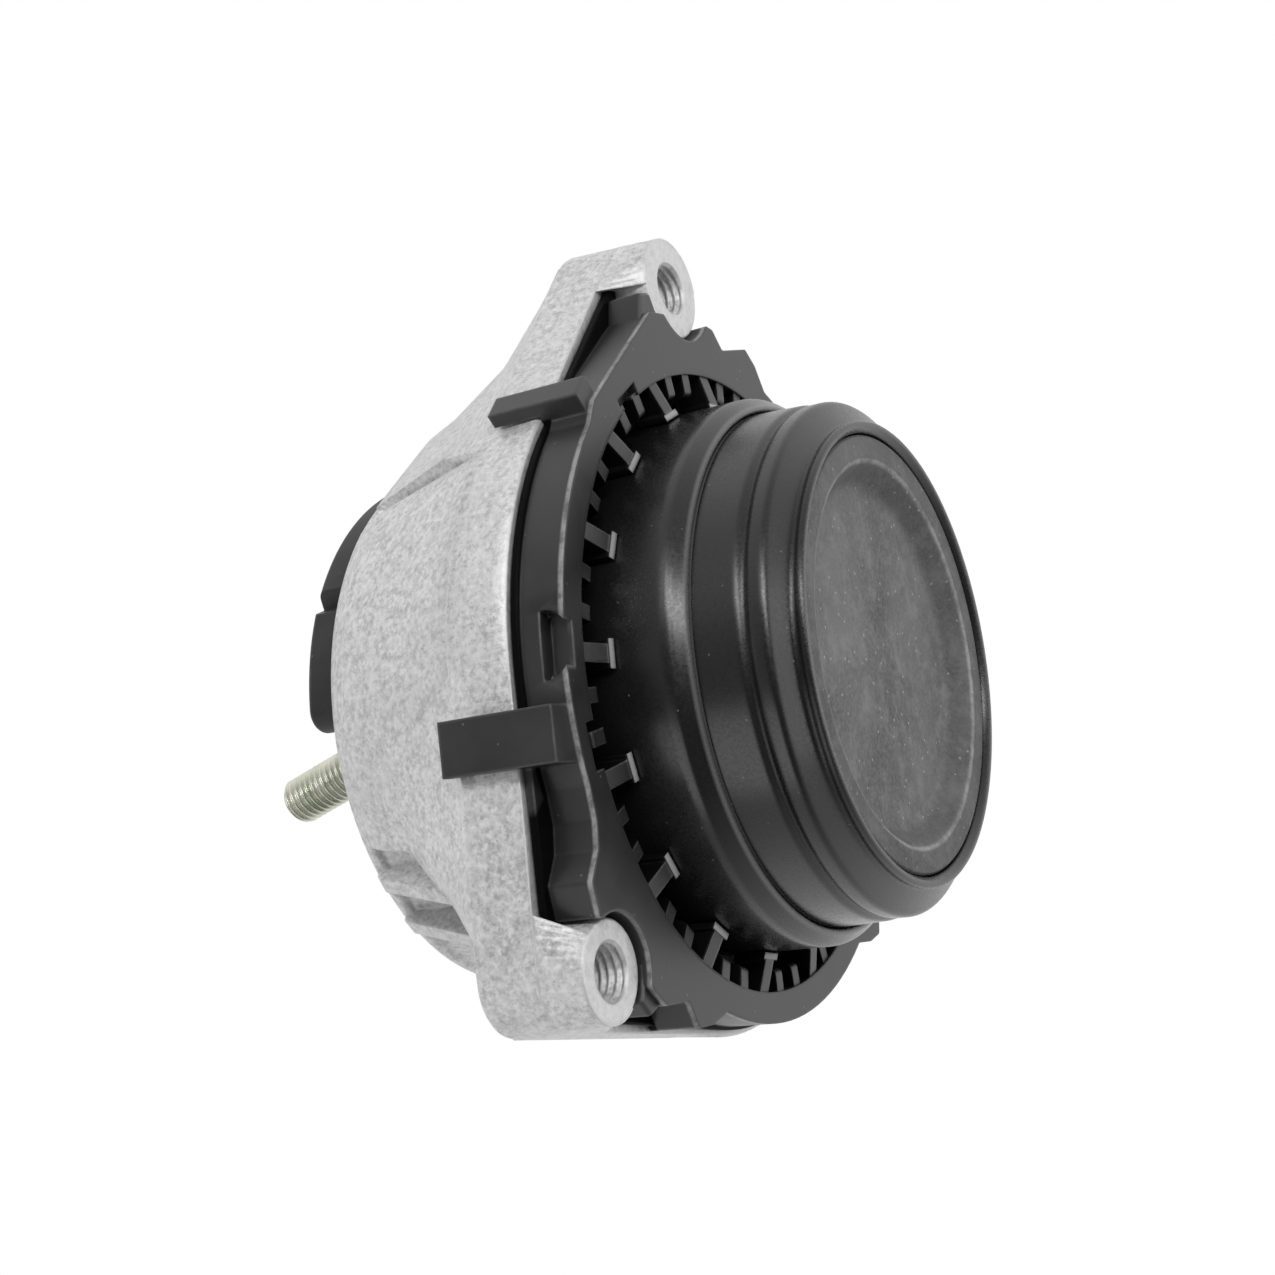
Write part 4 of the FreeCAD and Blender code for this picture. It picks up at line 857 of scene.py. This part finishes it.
world = bpy.data.worlds.new("studio")
world.use_nodes = True
sky = world.node_tree
sky.nodes.clear()
rays = sky.nodes.new("ShaderNodeLightPath")
glow = sky.nodes.new("ShaderNodeBackground")
glow.inputs["Color"].default_value = grey(1.0)
toward = sky.nodes.new("ShaderNodeVectorMath")
toward.operation = "DOT_PRODUCT"
toward.inputs[1].default_value = CAMERA_AHEAD
sky.links.new(sky.nodes.new("ShaderNodeTexCoord").outputs["Generated"], toward.inputs[0])
mirrored = sky.nodes.new("ShaderNodeMapRange")
mirrored.inputs["From Min"].default_value = -0.75
mirrored.inputs["From Max"].default_value = 0.25
mirrored.inputs["To Min"].default_value = MIRRORED_FRONT
mirrored.inputs["To Max"].default_value = MIRRORED_BACK
sky.links.new(toward.outputs["Value"], mirrored.inputs["Value"])


def chosen(share, first, second):
    """The first strength where share is 0 and the second where it is 1."""
    made = sky.nodes.new("ShaderNodeMix")
    sky.links.new(share, made.inputs["Factor"])
    for source, target in ((first, made.inputs["A"]), (second, made.inputs["B"])):
        if isinstance(source, float):
            target.default_value = source
        else:
            sky.links.new(source, target)
    return made.outputs["Result"]


level = chosen(rays.outputs["Is Glossy Ray"], AMBIENT, mirrored.outputs["Result"])
level = chosen(rays.outputs["Is Camera Ray"], level, 1.0)
sky.links.new(level, glow.inputs["Strength"])
end = sky.nodes.new("ShaderNodeOutputWorld")
sky.links.new(glow.outputs["Background"], end.inputs["Surface"])
scene.world = world

# Soft boxes, placed as the photograph shows them: right, up and towards its camera, in metres

TARGET = Vector((0.0, 0.0, 55.0)) * MM


def soft_box(name, right, up, near, size, power, tall=None):
    """A rectangular lamp that faces the object, square unless it is tall."""
    data = bpy.data.lights.new(name, "AREA")
    data.shape = "RECTANGLE"
    data.size = size
    data.size_y = tall or size
    data.energy = power
    lamp = bpy.data.objects.new(name, data)
    scene.collection.objects.link(lamp)
    offset = CAMERA_RIGHT * right + CAMERA_UP * up - CAMERA_AHEAD * near
    lamp.location = TARGET + offset
    lamp.rotation_mode = "QUATERNION"
    lamp.rotation_quaternion = (-offset).to_track_quat("-Z", "Y")


soft_box("key", -0.42, 0.50, 0.56, 0.35, 0.6)
soft_box("right", 0.75, 0.15, 0.10, 0.45, 1.2)
soft_box("shoulder", 0.12, 0.50, 0.76, 0.18, 4.4, 0.85)
soft_box("fill", -0.40, -0.45, 0.55, 0.5, 0.9)

# Camera and picture

camera_data = bpy.data.cameras.new("camera")
camera_data.lens = CAMERA_LENS
camera_data.sensor_width = SENSOR
camera_data.clip_start = 0.01
camera_data.clip_end = 20.0
camera = bpy.data.objects.new("camera", camera_data)
scene.collection.objects.link(camera)
turn = Matrix((CAMERA_RIGHT, CAMERA_UP, -CAMERA_AHEAD)).transposed()
camera.matrix_world = Matrix.Translation(CAMERA_PLACE) @ turn.to_4x4()
scene.camera = camera

scene.render.engine = "CYCLES"
scene.view_settings.view_transform = "Standard"
